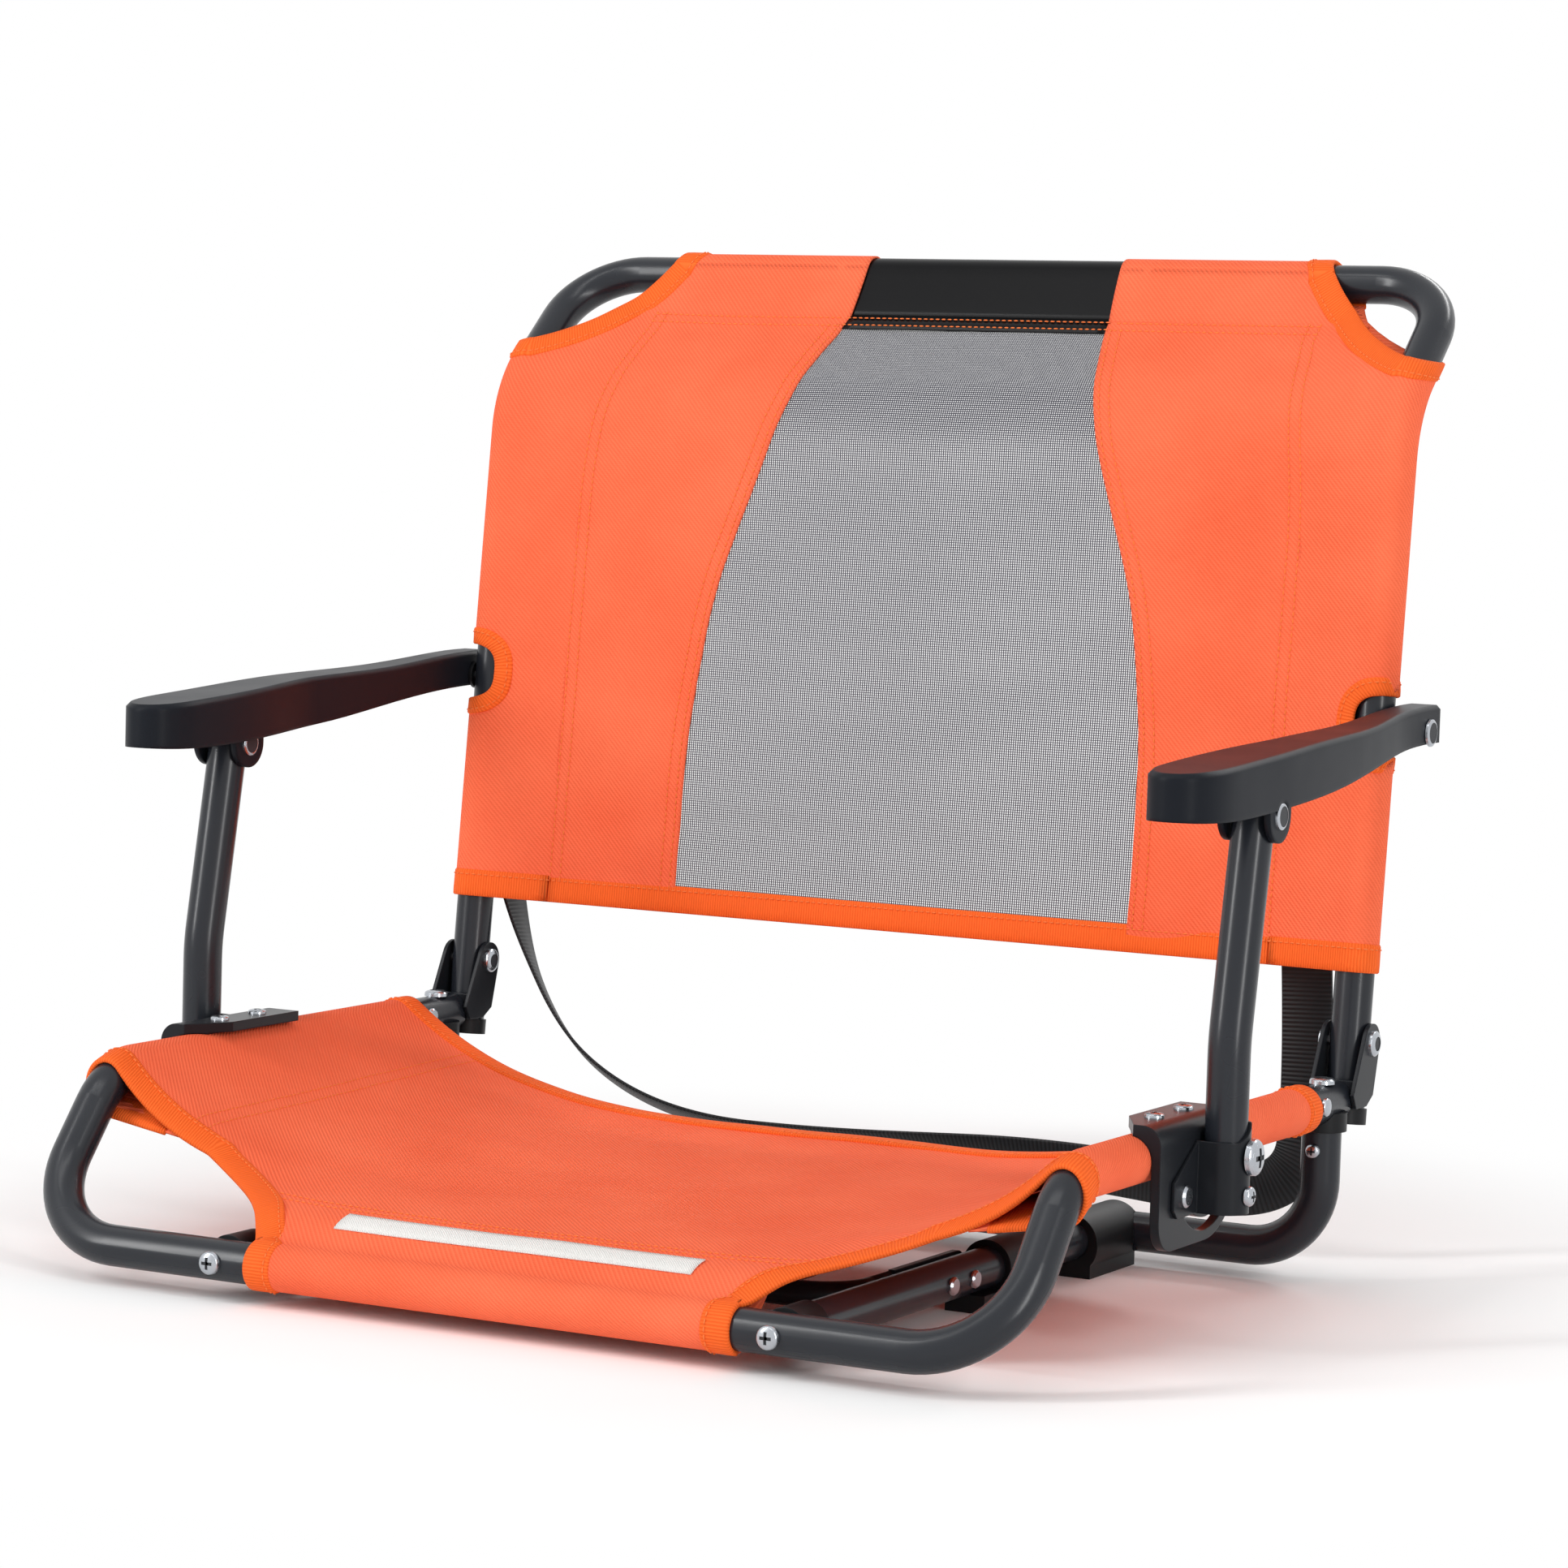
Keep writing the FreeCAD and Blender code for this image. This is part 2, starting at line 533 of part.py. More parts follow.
def socket():
    """Return the pressed sheet socket: a half shell round the post's foot and a forward flange."""
    y = POST_FOOT[0]
    low, high = SOCKET_Z
    inner_x = CLAMP_X[1] + CLEAR
    out_r = SOCKET_IN + SHEET
    edges = []
    for radius in (out_r, SOCKET_IN):
        near, far = V(POST_X, y - radius, low), V(POST_X, y + radius, low)
        edges.append(Part.makeLine(V(inner_x, y - radius, low), near))
        edges.append(Part.Arc(near, V(POST_X + radius, y, low), far).toShape())
        edges.append(Part.makeLine(far, V(inner_x, y + radius, low)))
    for side in (-1, 1):
        edges.append(Part.makeLine(V(inner_x, y + side * out_r, low), V(inner_x, y + side * SOCKET_IN, low)))
    shell = Part.Face(Part.Wire(Part.__sortEdges__(edges))).extrude(Z_AXIS * (high - low))
    front_z = SOCKET_FRONT_Z
    slope = [(y - out_r, front_z), (y - out_r / 2, front_z), (y + out_r / 2, high), (y - out_r, high)]
    shell = shell.cut(plate(slope, (inner_x - 1, POST_X + out_r + 1)))
    root_y = y - out_r + 1
    flange_outline = [
        (root_y, low), (FLANGE_Y + 4, low), (FLANGE_Y, low + 4), (FLANGE_Y, low + 16), (root_y, front_z),
    ]
    flange = plate(flange_outline, (inner_x, inner_x + SHEET))
    stop_y, stop_z = stop_point()
    drills = [
        cross_bar(PIVOT_Y, PIVOT_Z, POST_X, POST_X + 20, PIVOT_R + FIT),
        cross_bar(y, SOCKET_SCREW_Z, POST_X, POST_X + 20, SCREW_R + FIT),
        cross_bar(stop_y, stop_z, inner_x - 5, inner_x + 5, STOP_R + FIT),
    ]
    return drilled(shell.fuse(flange).removeSplitter(), drills)


def socket_screw():
    """Return the small screw that fixes a socket to its post."""
    head_x = POST_X + SOCKET_IN + SHEET
    return screw(V(head_x, POST_FOOT[0], SOCKET_SCREW_Z), X_AXIS * -1, 8)


def stop_pin():
    """Return the rivet in the socket's flange whose shank runs in the clamp's notch."""
    stop_y, stop_z = stop_point()
    seat_x = CLAMP_X[1] + CLEAR + SHEET
    length = seat_x - RAIL_X - CLAMP_SADDLE_R
    return screw(V(seat_x, stop_y, stop_z), X_AXIS * -1, length, 5.0, 2.4, STOP_R)


def arm_plan(inset):
    """Return the armrest's outline from above, with a round nose, moved inward by a wall thickness."""
    tip = ARM_NOSE_Y
    inner_x, outer_x = ARM_REAR_X
    pad = [V(x, y, 150) for x, y in (
        (outer_x, 372), (281.5, 320), (286.8, 245), (288, 190), (287.3, 145), (284.5, tip + 16),
        (278, tip + 4), (268.5, tip), (259.5, tip + 3.5), (253.8, tip + 13.5), (252, tip + 32),
        (252.5, 165), (256.5, 205), (inner_x, 240),
    )]
    along = [(after - before).normalize() for before, after in zip(pad, pad[2:])]
    along = [Y_AXIS * -1] + along + [Y_AXIS]
    pad = [point + V(way.y, -way.x, 0) * inset for point, way in zip(pad, along)]
    first, last = pad[0], pad[-1]
    tail = Part.makePolygon([last, V(last.x, ARM_REAR_Y, 150), V(first.x, ARM_REAR_Y, 150), first])
    side = curve(pad, InitialTangent=along[0], FinalTangent=along[-1])
    return Part.Face(Part.Wire([side] + tail.Edges))


def arm_block(inset, y_span):
    """Return the armrest's outer body moved inward by a wall thickness, open downward if inset."""
    drop = 20.0 if inset else 0.0
    nose, rear = ARM_NOSE_Y - 1, ARM_REAR_Y
    tops = [(nose, 240), (120, 241.5), (175, 245), (239, 249), (320, 252.5), (365, 256.5), (rear, 258)]
    lows = [(rear, 240), (360, 238.5), (307, 233), (259, 227), (195, 222), (150, 219.5), (nose, 219.5)]
    upper = curve([V(200, y, z - inset) for y, z in tops])
    lower = curve([V(200, y, z - drop) for y, z in lows])
    ends = [
        Part.makeLine(upper.Vertexes[-1].Point, lower.Vertexes[0].Point),
        Part.makeLine(lower.Vertexes[-1].Point, upper.Vertexes[0].Point),
    ]
    side = Part.Face(Part.Wire([upper, ends[0], lower, ends[1]])).extrude(X_AXIS * 200)
    return side.common(arm_plan(inset).extrude(Z_AXIS * 200)).common(box((200, 300), y_span, (150, 350)))


def armrest():
    """Return an armrest: a shell open below, a solid rear end and two lugs for the post."""
    body = arm_block(0.0, (ARM_NOSE_Y - 1, ARM_REAR_Y + 1))
    wide = [face for face in body.Faces if face.BoundBox.XLength > 20]
    top = max(wide, key=lambda face: face.CenterOfMass.z)
    body = body.makeChamfer(ARM_BEVEL, [edge for edge in top.Edges if edge.BoundBox.YLength > 1])
    shell = body.cut(arm_block(ARM_WALL, (ARM_NOSE_Y, 370)))
    lug_x = (POST_X + LUG_GAP, POST_X + LUG_GAP + LUG_T)
    lug = box(lug_x, (LUG_BOLT.y - LUG_R, LUG_BOLT.y + LUG_R), (LUG_BOLT.z, 243))
    lug = lug.fuse(cross_bar(LUG_BOLT.y, LUG_BOLT.z, lug_x[0], lug_x[1], LUG_R))
    twin = lug.mirror(V(POST_X, 0, 0), X_AXIS)
    drills = [
        cross_bar(LUG_BOLT.y, LUG_BOLT.z, POST_X - 20, POST_X + 20, BOLT_R + FIT),
        cross_bar(ARM_BOLT.y, ARM_BOLT.z, 250, 300, BOLT_R + FIT),
        cross_bar(LUG_BOLT.y, LUG_BOLT.z, lug_x[1], lug_x[1] + 10, LUG_HEAD_R + CLEAR),
    ]
    return drilled(shell.fuse(lug).fuse(twin), drills).removeSplitter()


def lug_bolt():
    """Return the bolt through an armrest's lugs and its post, headed at both ends."""
    reach = LUG_GAP + LUG_T + FIT
    shape = cross_bar(LUG_BOLT.y, LUG_BOLT.z, POST_X - reach, POST_X + reach, BOLT_R)
    for side in (-1, 1):
        seat = V(POST_X + side * reach, LUG_BOLT.y, LUG_BOLT.z)
        shape = shape.fuse(screw(seat, X_AXIS * -side, 1, LUG_HEAD_R, FLAT_HEAD_T, BOLT_R))
    return shape.removeSplitter()


def arm_bolt():
    """Return the bolt that carries an armrest's rear end on the back tube."""
    ends = (RAIL_X - TUBE_R - FIT, ARM_REAR_X[1] + CLEAR)
    shape = cross_bar(ARM_BOLT.y, ARM_BOLT.z, ends[0], ends[1], BOLT_R)
    inner = screw(V(ends[0], ARM_BOLT.y, ARM_BOLT.z), X_AXIS, 1, 5.0, 2.2, BOLT_R)
    outer = screw(V(ends[1], ARM_BOLT.y, ARM_BOLT.z), X_AXIS * -1, 1, 6.5, FLAT_HEAD_T, BOLT_R)
    return shape.fuse(inner).fuse(outer).removeSplitter()


def arm_spacer():
    """Return the washer that keeps an armrest off the back tube."""
    span = (RAIL_X + TUBE_R + FIT, ARM_REAR_X[0] - CLEAR)
    disc = cross_bar(ARM_BOLT.y, ARM_BOLT.z, span[0], span[1], 7.0)
    return disc.cut(cross_bar(ARM_BOLT.y, ARM_BOLT.z, span[0] - 1, span[1] + 1, BOLT_R + FIT))


def back_axis():
    """Return the points of the back tube's centre line, from the right tail to the left."""
    right = [HINGE - TILT * TAIL_RUN, BEND, TOP]
    return right + [V(-point.x, point.y, point.z) for point in reversed(right)]


def back_tube():
    """Return the back tube with its hinge and arm bolt holes."""
    drills = [
        cross_bar(HINGE_Y, HINGE_Z, RAIL_X - 20, RAIL_X + 20, HINGE_PIN_R + FIT),
        cross_bar(ARM_BOLT.y, ARM_BOLT.z, RAIL_X - 20, RAIL_X + 20, BOLT_R + FIT),
    ]
    tube = bent_tube(back_axis(), (BACK_BEND_R, TOP_CORNER_R, TOP_CORNER_R, BACK_BEND_R))
    return drilled(tube, on_both_sides(drills))


def back_cap():
    """Return the cap over the tail of a back leg."""
    cap = rod(HINGE - TILT * CAP_RUN[0], HINGE - TILT * CAP_RUN[1], CAP_R)
    return cap.cut(rod(HINGE, HINGE - TILT * (TAIL_RUN + FIT), TUBE_R + FIT))


def seat_middle_z(y):
    """Return the height of the seat sling's middle line, which rises soon behind the front sleeve."""
    crown = SEAT_CROWN * (1 - math.exp(-((y / SEAT_CROWN_RUN) ** 2)))
    return SLEEVE_MID + crown + (SEAT_REAR_Z - SEAT_CROWN - SLEEVE_MID) * y / SEAT_SLEEVE_Y[1]


def seat_edge():
    """Return x and z of the line where the seat sling leaves a side sleeve."""
    return RAIL_X - SLEEVE_MID * math.sin(SEAT_LEAVE), RAIL_Z + SLEEVE_MID * math.cos(SEAT_LEAVE)


def seat_z(x, y):
    """Return the height of the seat sling: flat in the middle, rising with the fourth power to the rails."""
    edge_x, edge_z = seat_edge()
    share = min(1.0, y / SEAT_RISE_RUN)
    eased = share * share * (3 - 2 * share)
    return seat_middle_z(y) + eased * (edge_z - seat_middle_z(y)) * (abs(x) / edge_x) ** 4


def seat_cloth(half_width, y_span, low, thickness):
    """Return a layer of the seat sling, from its lower face's offset and its thickness."""
    columns, rows = 16, 14
    grid = []
    for row in range(rows + 1):
        y = y_span[0] + (y_span[1] - y_span[0]) * (row / rows) ** 1.5
        xs = [half_width * (2 * column / columns - 1) for column in range(columns + 1)]
        grid.append([V(x, y, seat_z(x, y) + low) for x in xs])
    surface = Part.BSplineSurface()
    surface.interpolate(grid)
    return surface.toShape().extrude(Z_AXIS * thickness)


def ring(start, end):
    """Return a cloth sleeve round a straight run of tube."""
    return rod(start, end, SLEEVE_OUT).cut(rod(start, end, SLEEVE_IN))


def seat_corner_cut():
    """Return the block that takes the curved corner out of the seat sling."""
    outer = V(RAIL_X + 20, SEAT_SLEEVE_Y[0], -50)
    arc = Part.Arc(V(FRONT_SLEEVE_X, -1, -50), V(SEAT_CORNER[0], SEAT_CORNER[1], -50), outer).toShape()
    rest = Part.makePolygon([
        outer, V(RAIL_X + 20, -30, -50), V(FRONT_SLEEVE_X, -30, -50),
        V(FRONT_SLEEVE_X, -1, -50),
    ])
    return Part.Face(Part.Wire([arc] + rest.Edges)).extrude(Z_AXIS * 200)


def rail_bar(y_span, radius):
    """Return a round bar along a rail and round its front bend, between two values of y."""
    bar = bent_rod([V(RAIL_X, y_span[1], RAIL_Z), KNEE, V(RAIL_X, 0, 0)], (RAIL_BEND_R,), radius)
    return bar.common(box((RAIL_X - 20, RAIL_X + 20), y_span, (0, RAIL_Z + 20)))


def seat_sling():
    """Return the seat sling: web, two side sleeves and the front sleeve."""
    edge_x, _ = seat_edge()
    web = seat_cloth(edge_x, (0.0, SEAT_SLEEVE_Y[1]), -CLOTH / 2, CLOTH)
    corner = seat_corner_cut()
    web = web.cut(corner).cut(mirrored(corner))
    side = rail_bar(SEAT_SLEEVE_Y, SLEEVE_OUT)
    front = ring(V(-FRONT_SLEEVE_X, 0, 0), V(FRONT_SLEEVE_X, 0, 0))
    rail = rail_bar((SEAT_SLEEVE_Y[0] - 10, SEAT_SLEEVE_Y[1] + 20), SLEEVE_IN)
    bores = [rail, mirrored(rail), cross_bar(0, 0, -200, 200, SLEEVE_IN)]
    sling = web.fuse(side).fuse(mirrored(side)).fuse(front)
    return drilled(drilled(sling, bores), on_both_sides(rail_drills()[:2]))


def label_patch():
    """Return the bare sewn patch just behind the front sleeve."""
    half, near, far = LABEL
    return seat_cloth(half, (near, far), CLOTH / 2 + CLEAR, LABEL_T)


def back_sheet(low, high):
    """Return a layer of the back sling as wide as the frame, following the tube's bend."""
    outer = []
    for offset in (low, high):
        shift = V(0, math.cos(BACK_TILT), -math.sin(BACK_TILT)) * offset
        lean = V(0, math.cos(TOP_TILT), -math.sin(TOP_TILT)) * offset
        half = (TOP_TILT - BACK_TILT) / 2
        middle = (BACK_TILT + TOP_TILT) / 2
        corner = V(0, math.cos(middle), -math.sin(middle)) * (offset / math.cos(half))
        points = [HINGE + shift, BEND + corner, TOP + lean]
        points = [V(-RAIL_X, point.y, point.z) for point in points]
        outer.append(bent_path(points, (BACK_BEND_R - offset,)))
    first, second = outer
    ends = [
        Part.makeLine(first.Vertexes[0].Point, second.Vertexes[0].Point),
        Part.makeLine(first.Vertexes[-1].Point, second.Vertexes[-1].Point),
    ]
    edges = Part.__sortEdges__(first.Edges + second.Edges + ends)
    return Part.Face(Part.Wire(edges)).extrude(X_AXIS * (2 * RAIL_X))


def back_prism(points):
    """Return a block along Y from an outline of edges in the X and Z plane."""
    return Part.Face(Part.Wire(points)).extrude(Y_AXIS * 300)


def mesh_edge(z_shift=0.0, x_shift=0.0):
    """Return the curved side of the mesh panel, from the hem to the top sleeve."""
    points = [
        (134, HEM_Z - 1), (134, 200), (130, 253), (121, 305), (101, 366), (88, 409), (79.5, 440),
        (MESH_TOP_X, 480),
    ]
    return curve([V(x + x_shift, 300, z + z_shift) for x, z in points])


def mesh_panel():
    """Return the mesh panel with its loop over the top tube."""
    right = mesh_edge(x_shift=-CLEAR)
    left = mirrored(right)
    low = Part.makeLine(left.Vertexes[0].Point, right.Vertexes[0].Point)
    high = Part.makeLine(right.Vertexes[-1].Point, left.Vertexes[-1].Point)
    outline = back_prism(Part.__sortEdges__([low, right, high, left]))
    hem = box((-300, 300), (300, 600), (HEM_Z, 600))
    loop = ring(V(-MESH_TOP_X, TOP.y, TOP.z), V(MESH_TOP_X, TOP.y, TOP.z))
    bore = cross_bar(TOP.y, TOP.z, -300, 300, SLEEVE_IN)
    return back_sheet(-CLOTH / 2, CLOTH / 2).common(outline).common(hem).fuse(loop).cut(bore).removeSplitter()


def back_panel():
    """Return a side panel of the back: web, sleeve with an arm notch, and its part of the top sleeve."""
    inner = mesh_edge()
    start = inner.Vertexes[0].Point
    finish = inner.Vertexes[-1].Point
    cut_arc = Part.Arc(V(TOP_SLEEVE_X, 300, 480), V(212, 300, 440), V(RAIL_X + 20, 300, 420)).toShape()
    edges = [
        inner,
        Part.makeLine(finish, V(TOP_SLEEVE_X, 300, 480)),
        cut_arc,
        Part.makeLine(V(RAIL_X + 20, 300, 420), V(RAIL_X + 20, 300, HEM_Z - 1)),
        Part.makeLine(V(RAIL_X + 20, 300, HEM_Z - 1), start),
    ]
    outline = back_prism(edges)
    hem = box((0, 300), (300, 600), (HEM_Z, 600))
    web = back_sheet(-CLOTH / 2, CLOTH / 2).common(outline).common(hem)
    leg = back_axis()[:3]
    sleeve = bent_rod(leg, (BACK_BEND_R,), SLEEVE_OUT).common(outline).common(hem)
    top = cross_bar(TOP.y, TOP.z, MESH_TOP_X + 1.2, TOP_SLEEVE_X, SLEEVE_OUT)
    bore = bent_rod(leg, (BACK_BEND_R,), SLEEVE_IN).fuse(cross_bar(TOP.y, TOP.z, 0, 300, SLEEVE_IN))
    notch = box((RAIL_X - ARM_NOTCH, RAIL_X + 30), (300, 500), NOTCH_Z)
    return web.fuse(sleeve).fuse(top).cut(bore).cut(notch).removeSplitter()


def strap_radii(points):
    """Return the largest arc that fits at each inner point of the strap's centre line."""
    radii = []
    for before, corner, after in zip(points, points[1:], points[2:]):
        turn = (corner - before).getAngle(after - corner)
        run = min((corner - before).Length, (after - corner).Length)
        radii.append(0.45 * run / math.tan(turn / 2))
    return radii


def carry_strap():
    """Return the carry strap as flat webbing along straight runs and tangent arcs."""
    points = [V(x, STRAP_Y, z) for x, z in STRAP_XZ]
    radii = strap_radii(points)
    path = bent_path(points, radii)
    along = (points[1] - points[0]).normalize()
    across = along.cross(Y_AXIS) * (STRAP_T / 2)
    wide = Y_AXIS * (STRAP_W / 2)
    corners = [points[0] + across + wide, points[0] - across + wide]
    corners += [points[0] - across - wide, points[0] + across - wide]
    band = path.makePipeShell([Part.makePolygon(corners + corners[:1])], True, False)
    print("strap radii", [round(radius) for radius in radii])
    print("strap volume share", round(band.Volume / (STRAP_W * STRAP_T * path.Length), 3))
    return band


def frame_fasteners():
    """Export the groups of identical screws and rivets on the frame."""
    down = Z_AXIS * -1
    put_group("clamp_screws", [
        screw(V(RAIL_X, y, CLAMP_TOP), down, 12, HEAD_R, 1.4) for y in CLAMP_SCREWS_Y
    ])
    put_group("rail_screws", [screw(V(RAIL_X, RAIL_SCREW_Y, RAIL_Z + TUBE_R), down, 8)])
    rivet_x = TUBE_R + FIT
    rivet = cross_bar(RAIL_RIVET_Y, RAIL_RIVET_Z, RAIL_X - rivet_x, RAIL_X + rivet_x, RIVET_R)
    for side in (-1, 1):
        seat = V(RAIL_X + side * rivet_x, RAIL_RIVET_Y, RAIL_RIVET_Z)
        rivet = rivet.fuse(screw(seat, X_AXIS * -side, 1, HEAD_R, 1.8, RIVET_R))
    put_group("rail_rivets", [rivet.removeSplitter()])
    put_group("front_screws", [screw(V(STRUT_X, -TUBE_R, 0), Y_AXIS, STRUT_Y[0] + TUBE_R + 8, 5.0)])
    base_seat = V(RAIL_X, BASE_Y - TUBE_R, BASE_SCREW_Z)
    put_group("base_screws", [screw(base_seat, Y_AXIS, 8, BASE_HEAD_R)])
    leg_in = STRUT_X - TUBE_R - CLEAR - LEG_THICK - FIT
    rivets = []
    for y in STRUT_RIVETS_Y:
        shank = cross_bar(y, 0, leg_in, STRUT_X + TUBE_R, RIVET_R)
        inner = screw(V(leg_in, y, 0), X_AXIS, 1, HEAD_R, 1.8, RIVET_R)
        outer = screw(V(STRUT_X + TUBE_R, y, 0), X_AXIS * -1, 1, HEAD_R, 1.8, RIVET_R)
        rivets.append(shank.fuse(inner).fuse(outer).removeSplitter())
    put_group("strut_rivets", rivets)


def main():
    """Build and export every node."""
    single = (
        seat_tube, base_tube, hook_bar, hook_lug, bench_hook, seat_sling, label_patch,
        back_tube, mesh_panel, carry_strap,
    )
    for make in single:
        put(make.__name__, make())
    paired = (
        rail_saddle, strut, front_saddle, rear_foot, mid_foot, hinge_bracket, hinge_pin, arm_clamp,
        arm_pivot, post, socket, socket_screw, stop_pin, armrest, lug_bolt, arm_bolt, arm_spacer,
        back_cap, back_panel,
    )
    for make in paired:
        put_pair(make.__name__, make())
    frame_fasteners()


main()
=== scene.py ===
"""Looks of the folding stadium seat: cloth, tapes, stitches, webbing, finishes, light and camera.

Sizes are in millimetres in the design frame, whose origin is on the front bar's axis at the middle of
the seat, with X to the right as seen from the front, Y to the rear and Z up.
"""
from __future__ import annotations

import json
import logging
import math
from dataclasses import dataclass, field
from enum import Enum
from functools import cached_property
from typing import Any, Callable, Iterable, Sequence

import bmesh
import bpy
from mathutils import Matrix, Vector, noise
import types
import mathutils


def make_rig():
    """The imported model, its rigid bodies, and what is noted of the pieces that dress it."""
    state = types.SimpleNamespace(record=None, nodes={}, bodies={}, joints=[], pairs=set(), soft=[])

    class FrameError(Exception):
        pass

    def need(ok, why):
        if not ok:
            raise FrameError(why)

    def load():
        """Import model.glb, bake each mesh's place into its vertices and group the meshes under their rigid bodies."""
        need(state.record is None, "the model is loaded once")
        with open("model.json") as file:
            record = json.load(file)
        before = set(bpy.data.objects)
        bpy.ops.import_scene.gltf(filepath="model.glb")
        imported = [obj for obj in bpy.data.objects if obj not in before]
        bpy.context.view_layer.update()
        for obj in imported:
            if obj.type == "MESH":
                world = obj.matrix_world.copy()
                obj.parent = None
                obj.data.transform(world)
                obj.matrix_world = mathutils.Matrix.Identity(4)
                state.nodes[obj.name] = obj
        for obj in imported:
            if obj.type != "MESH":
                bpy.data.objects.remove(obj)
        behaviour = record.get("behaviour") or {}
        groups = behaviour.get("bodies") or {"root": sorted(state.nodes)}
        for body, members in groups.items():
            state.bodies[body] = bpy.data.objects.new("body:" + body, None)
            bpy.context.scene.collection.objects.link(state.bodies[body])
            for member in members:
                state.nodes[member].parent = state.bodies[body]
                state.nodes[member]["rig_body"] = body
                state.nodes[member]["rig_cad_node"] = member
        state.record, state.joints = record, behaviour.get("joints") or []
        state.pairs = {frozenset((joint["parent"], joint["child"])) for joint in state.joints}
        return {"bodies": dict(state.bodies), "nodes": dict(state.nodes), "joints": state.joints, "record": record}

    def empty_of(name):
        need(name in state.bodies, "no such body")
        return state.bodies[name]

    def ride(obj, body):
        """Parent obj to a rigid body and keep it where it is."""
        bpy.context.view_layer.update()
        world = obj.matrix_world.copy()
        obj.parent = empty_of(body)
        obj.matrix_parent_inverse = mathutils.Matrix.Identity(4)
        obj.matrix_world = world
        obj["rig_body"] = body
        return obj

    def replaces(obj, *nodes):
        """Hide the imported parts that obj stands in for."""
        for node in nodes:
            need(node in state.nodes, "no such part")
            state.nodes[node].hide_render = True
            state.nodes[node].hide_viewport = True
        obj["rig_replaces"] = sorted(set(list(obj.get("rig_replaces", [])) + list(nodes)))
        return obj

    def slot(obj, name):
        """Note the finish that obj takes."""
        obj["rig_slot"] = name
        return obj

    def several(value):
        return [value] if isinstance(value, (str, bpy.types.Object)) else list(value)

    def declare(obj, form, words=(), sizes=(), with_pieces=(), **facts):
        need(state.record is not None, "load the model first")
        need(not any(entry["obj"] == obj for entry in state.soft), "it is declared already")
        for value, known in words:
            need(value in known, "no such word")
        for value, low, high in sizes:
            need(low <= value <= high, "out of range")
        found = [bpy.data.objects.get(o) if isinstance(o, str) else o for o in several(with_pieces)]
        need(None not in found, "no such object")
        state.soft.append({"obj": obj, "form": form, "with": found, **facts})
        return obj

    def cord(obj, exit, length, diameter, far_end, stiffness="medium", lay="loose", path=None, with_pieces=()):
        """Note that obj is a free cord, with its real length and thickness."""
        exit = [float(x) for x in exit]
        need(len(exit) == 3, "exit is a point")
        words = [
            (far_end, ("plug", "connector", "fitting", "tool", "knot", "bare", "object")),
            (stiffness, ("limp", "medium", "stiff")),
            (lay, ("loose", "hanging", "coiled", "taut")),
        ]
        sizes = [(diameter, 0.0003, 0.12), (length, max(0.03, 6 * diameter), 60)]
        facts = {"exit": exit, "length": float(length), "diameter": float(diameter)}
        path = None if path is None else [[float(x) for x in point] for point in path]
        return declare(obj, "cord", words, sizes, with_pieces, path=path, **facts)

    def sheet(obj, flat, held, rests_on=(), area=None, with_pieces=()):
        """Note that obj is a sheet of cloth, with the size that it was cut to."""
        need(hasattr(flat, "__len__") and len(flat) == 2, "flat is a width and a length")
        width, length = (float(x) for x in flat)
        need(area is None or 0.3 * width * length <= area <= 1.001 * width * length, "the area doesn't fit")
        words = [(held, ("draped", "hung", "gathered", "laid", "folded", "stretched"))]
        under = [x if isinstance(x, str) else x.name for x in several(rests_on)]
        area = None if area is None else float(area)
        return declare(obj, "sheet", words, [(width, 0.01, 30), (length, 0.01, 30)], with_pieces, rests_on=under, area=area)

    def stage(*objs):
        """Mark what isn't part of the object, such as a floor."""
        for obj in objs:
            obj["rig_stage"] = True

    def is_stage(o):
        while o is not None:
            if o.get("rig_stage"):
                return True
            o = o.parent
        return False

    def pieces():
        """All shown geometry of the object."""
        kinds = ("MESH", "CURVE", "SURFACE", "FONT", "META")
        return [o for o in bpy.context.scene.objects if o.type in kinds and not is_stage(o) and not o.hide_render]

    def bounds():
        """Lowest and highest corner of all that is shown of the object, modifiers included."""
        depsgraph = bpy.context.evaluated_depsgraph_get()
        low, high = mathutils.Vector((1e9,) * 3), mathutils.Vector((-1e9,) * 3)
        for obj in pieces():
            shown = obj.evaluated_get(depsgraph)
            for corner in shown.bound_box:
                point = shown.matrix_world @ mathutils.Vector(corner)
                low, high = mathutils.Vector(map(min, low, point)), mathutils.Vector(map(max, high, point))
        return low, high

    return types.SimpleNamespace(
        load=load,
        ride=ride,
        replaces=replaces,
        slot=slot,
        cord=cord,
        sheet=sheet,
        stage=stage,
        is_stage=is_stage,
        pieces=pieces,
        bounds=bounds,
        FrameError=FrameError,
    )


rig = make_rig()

LOG = logging.getLogger("stadium_seat")
# Where the row frame's origin lies in the design frame.
FOOTPRINT_MIDDLE = 236.764
BENCH_DROP = 18.0
# The side tubes' axes, the cloth's radius round a tube, and the back's hinge as (y, z).
RAIL_X = 248.5
WRAP_R = 10.4
HINGE = (373.0, 96.0)
# Thicknesses of cloth and tape, and the size and place of the thread on them.
CLOTH_THICK = 1.1
HALF_LAYER = 0.6
TAPE_HALF = 1.3
TAPE_THREAD_LIFT = 1.45
THREAD_LIFT = 0.75
THREAD_R = 0.42
STITCH_PITCH = 3.4

Object = bpy.types.Object
Tree = bpy.types.NodeTree
Flat = tuple[float, float]
Point = tuple[float, float, float]
Row = list[tuple[Vector, Flat]]


class Side(Enum):
    """The two sides of the seat, as the sign of X."""

    LEFT = -1
    RIGHT = 1


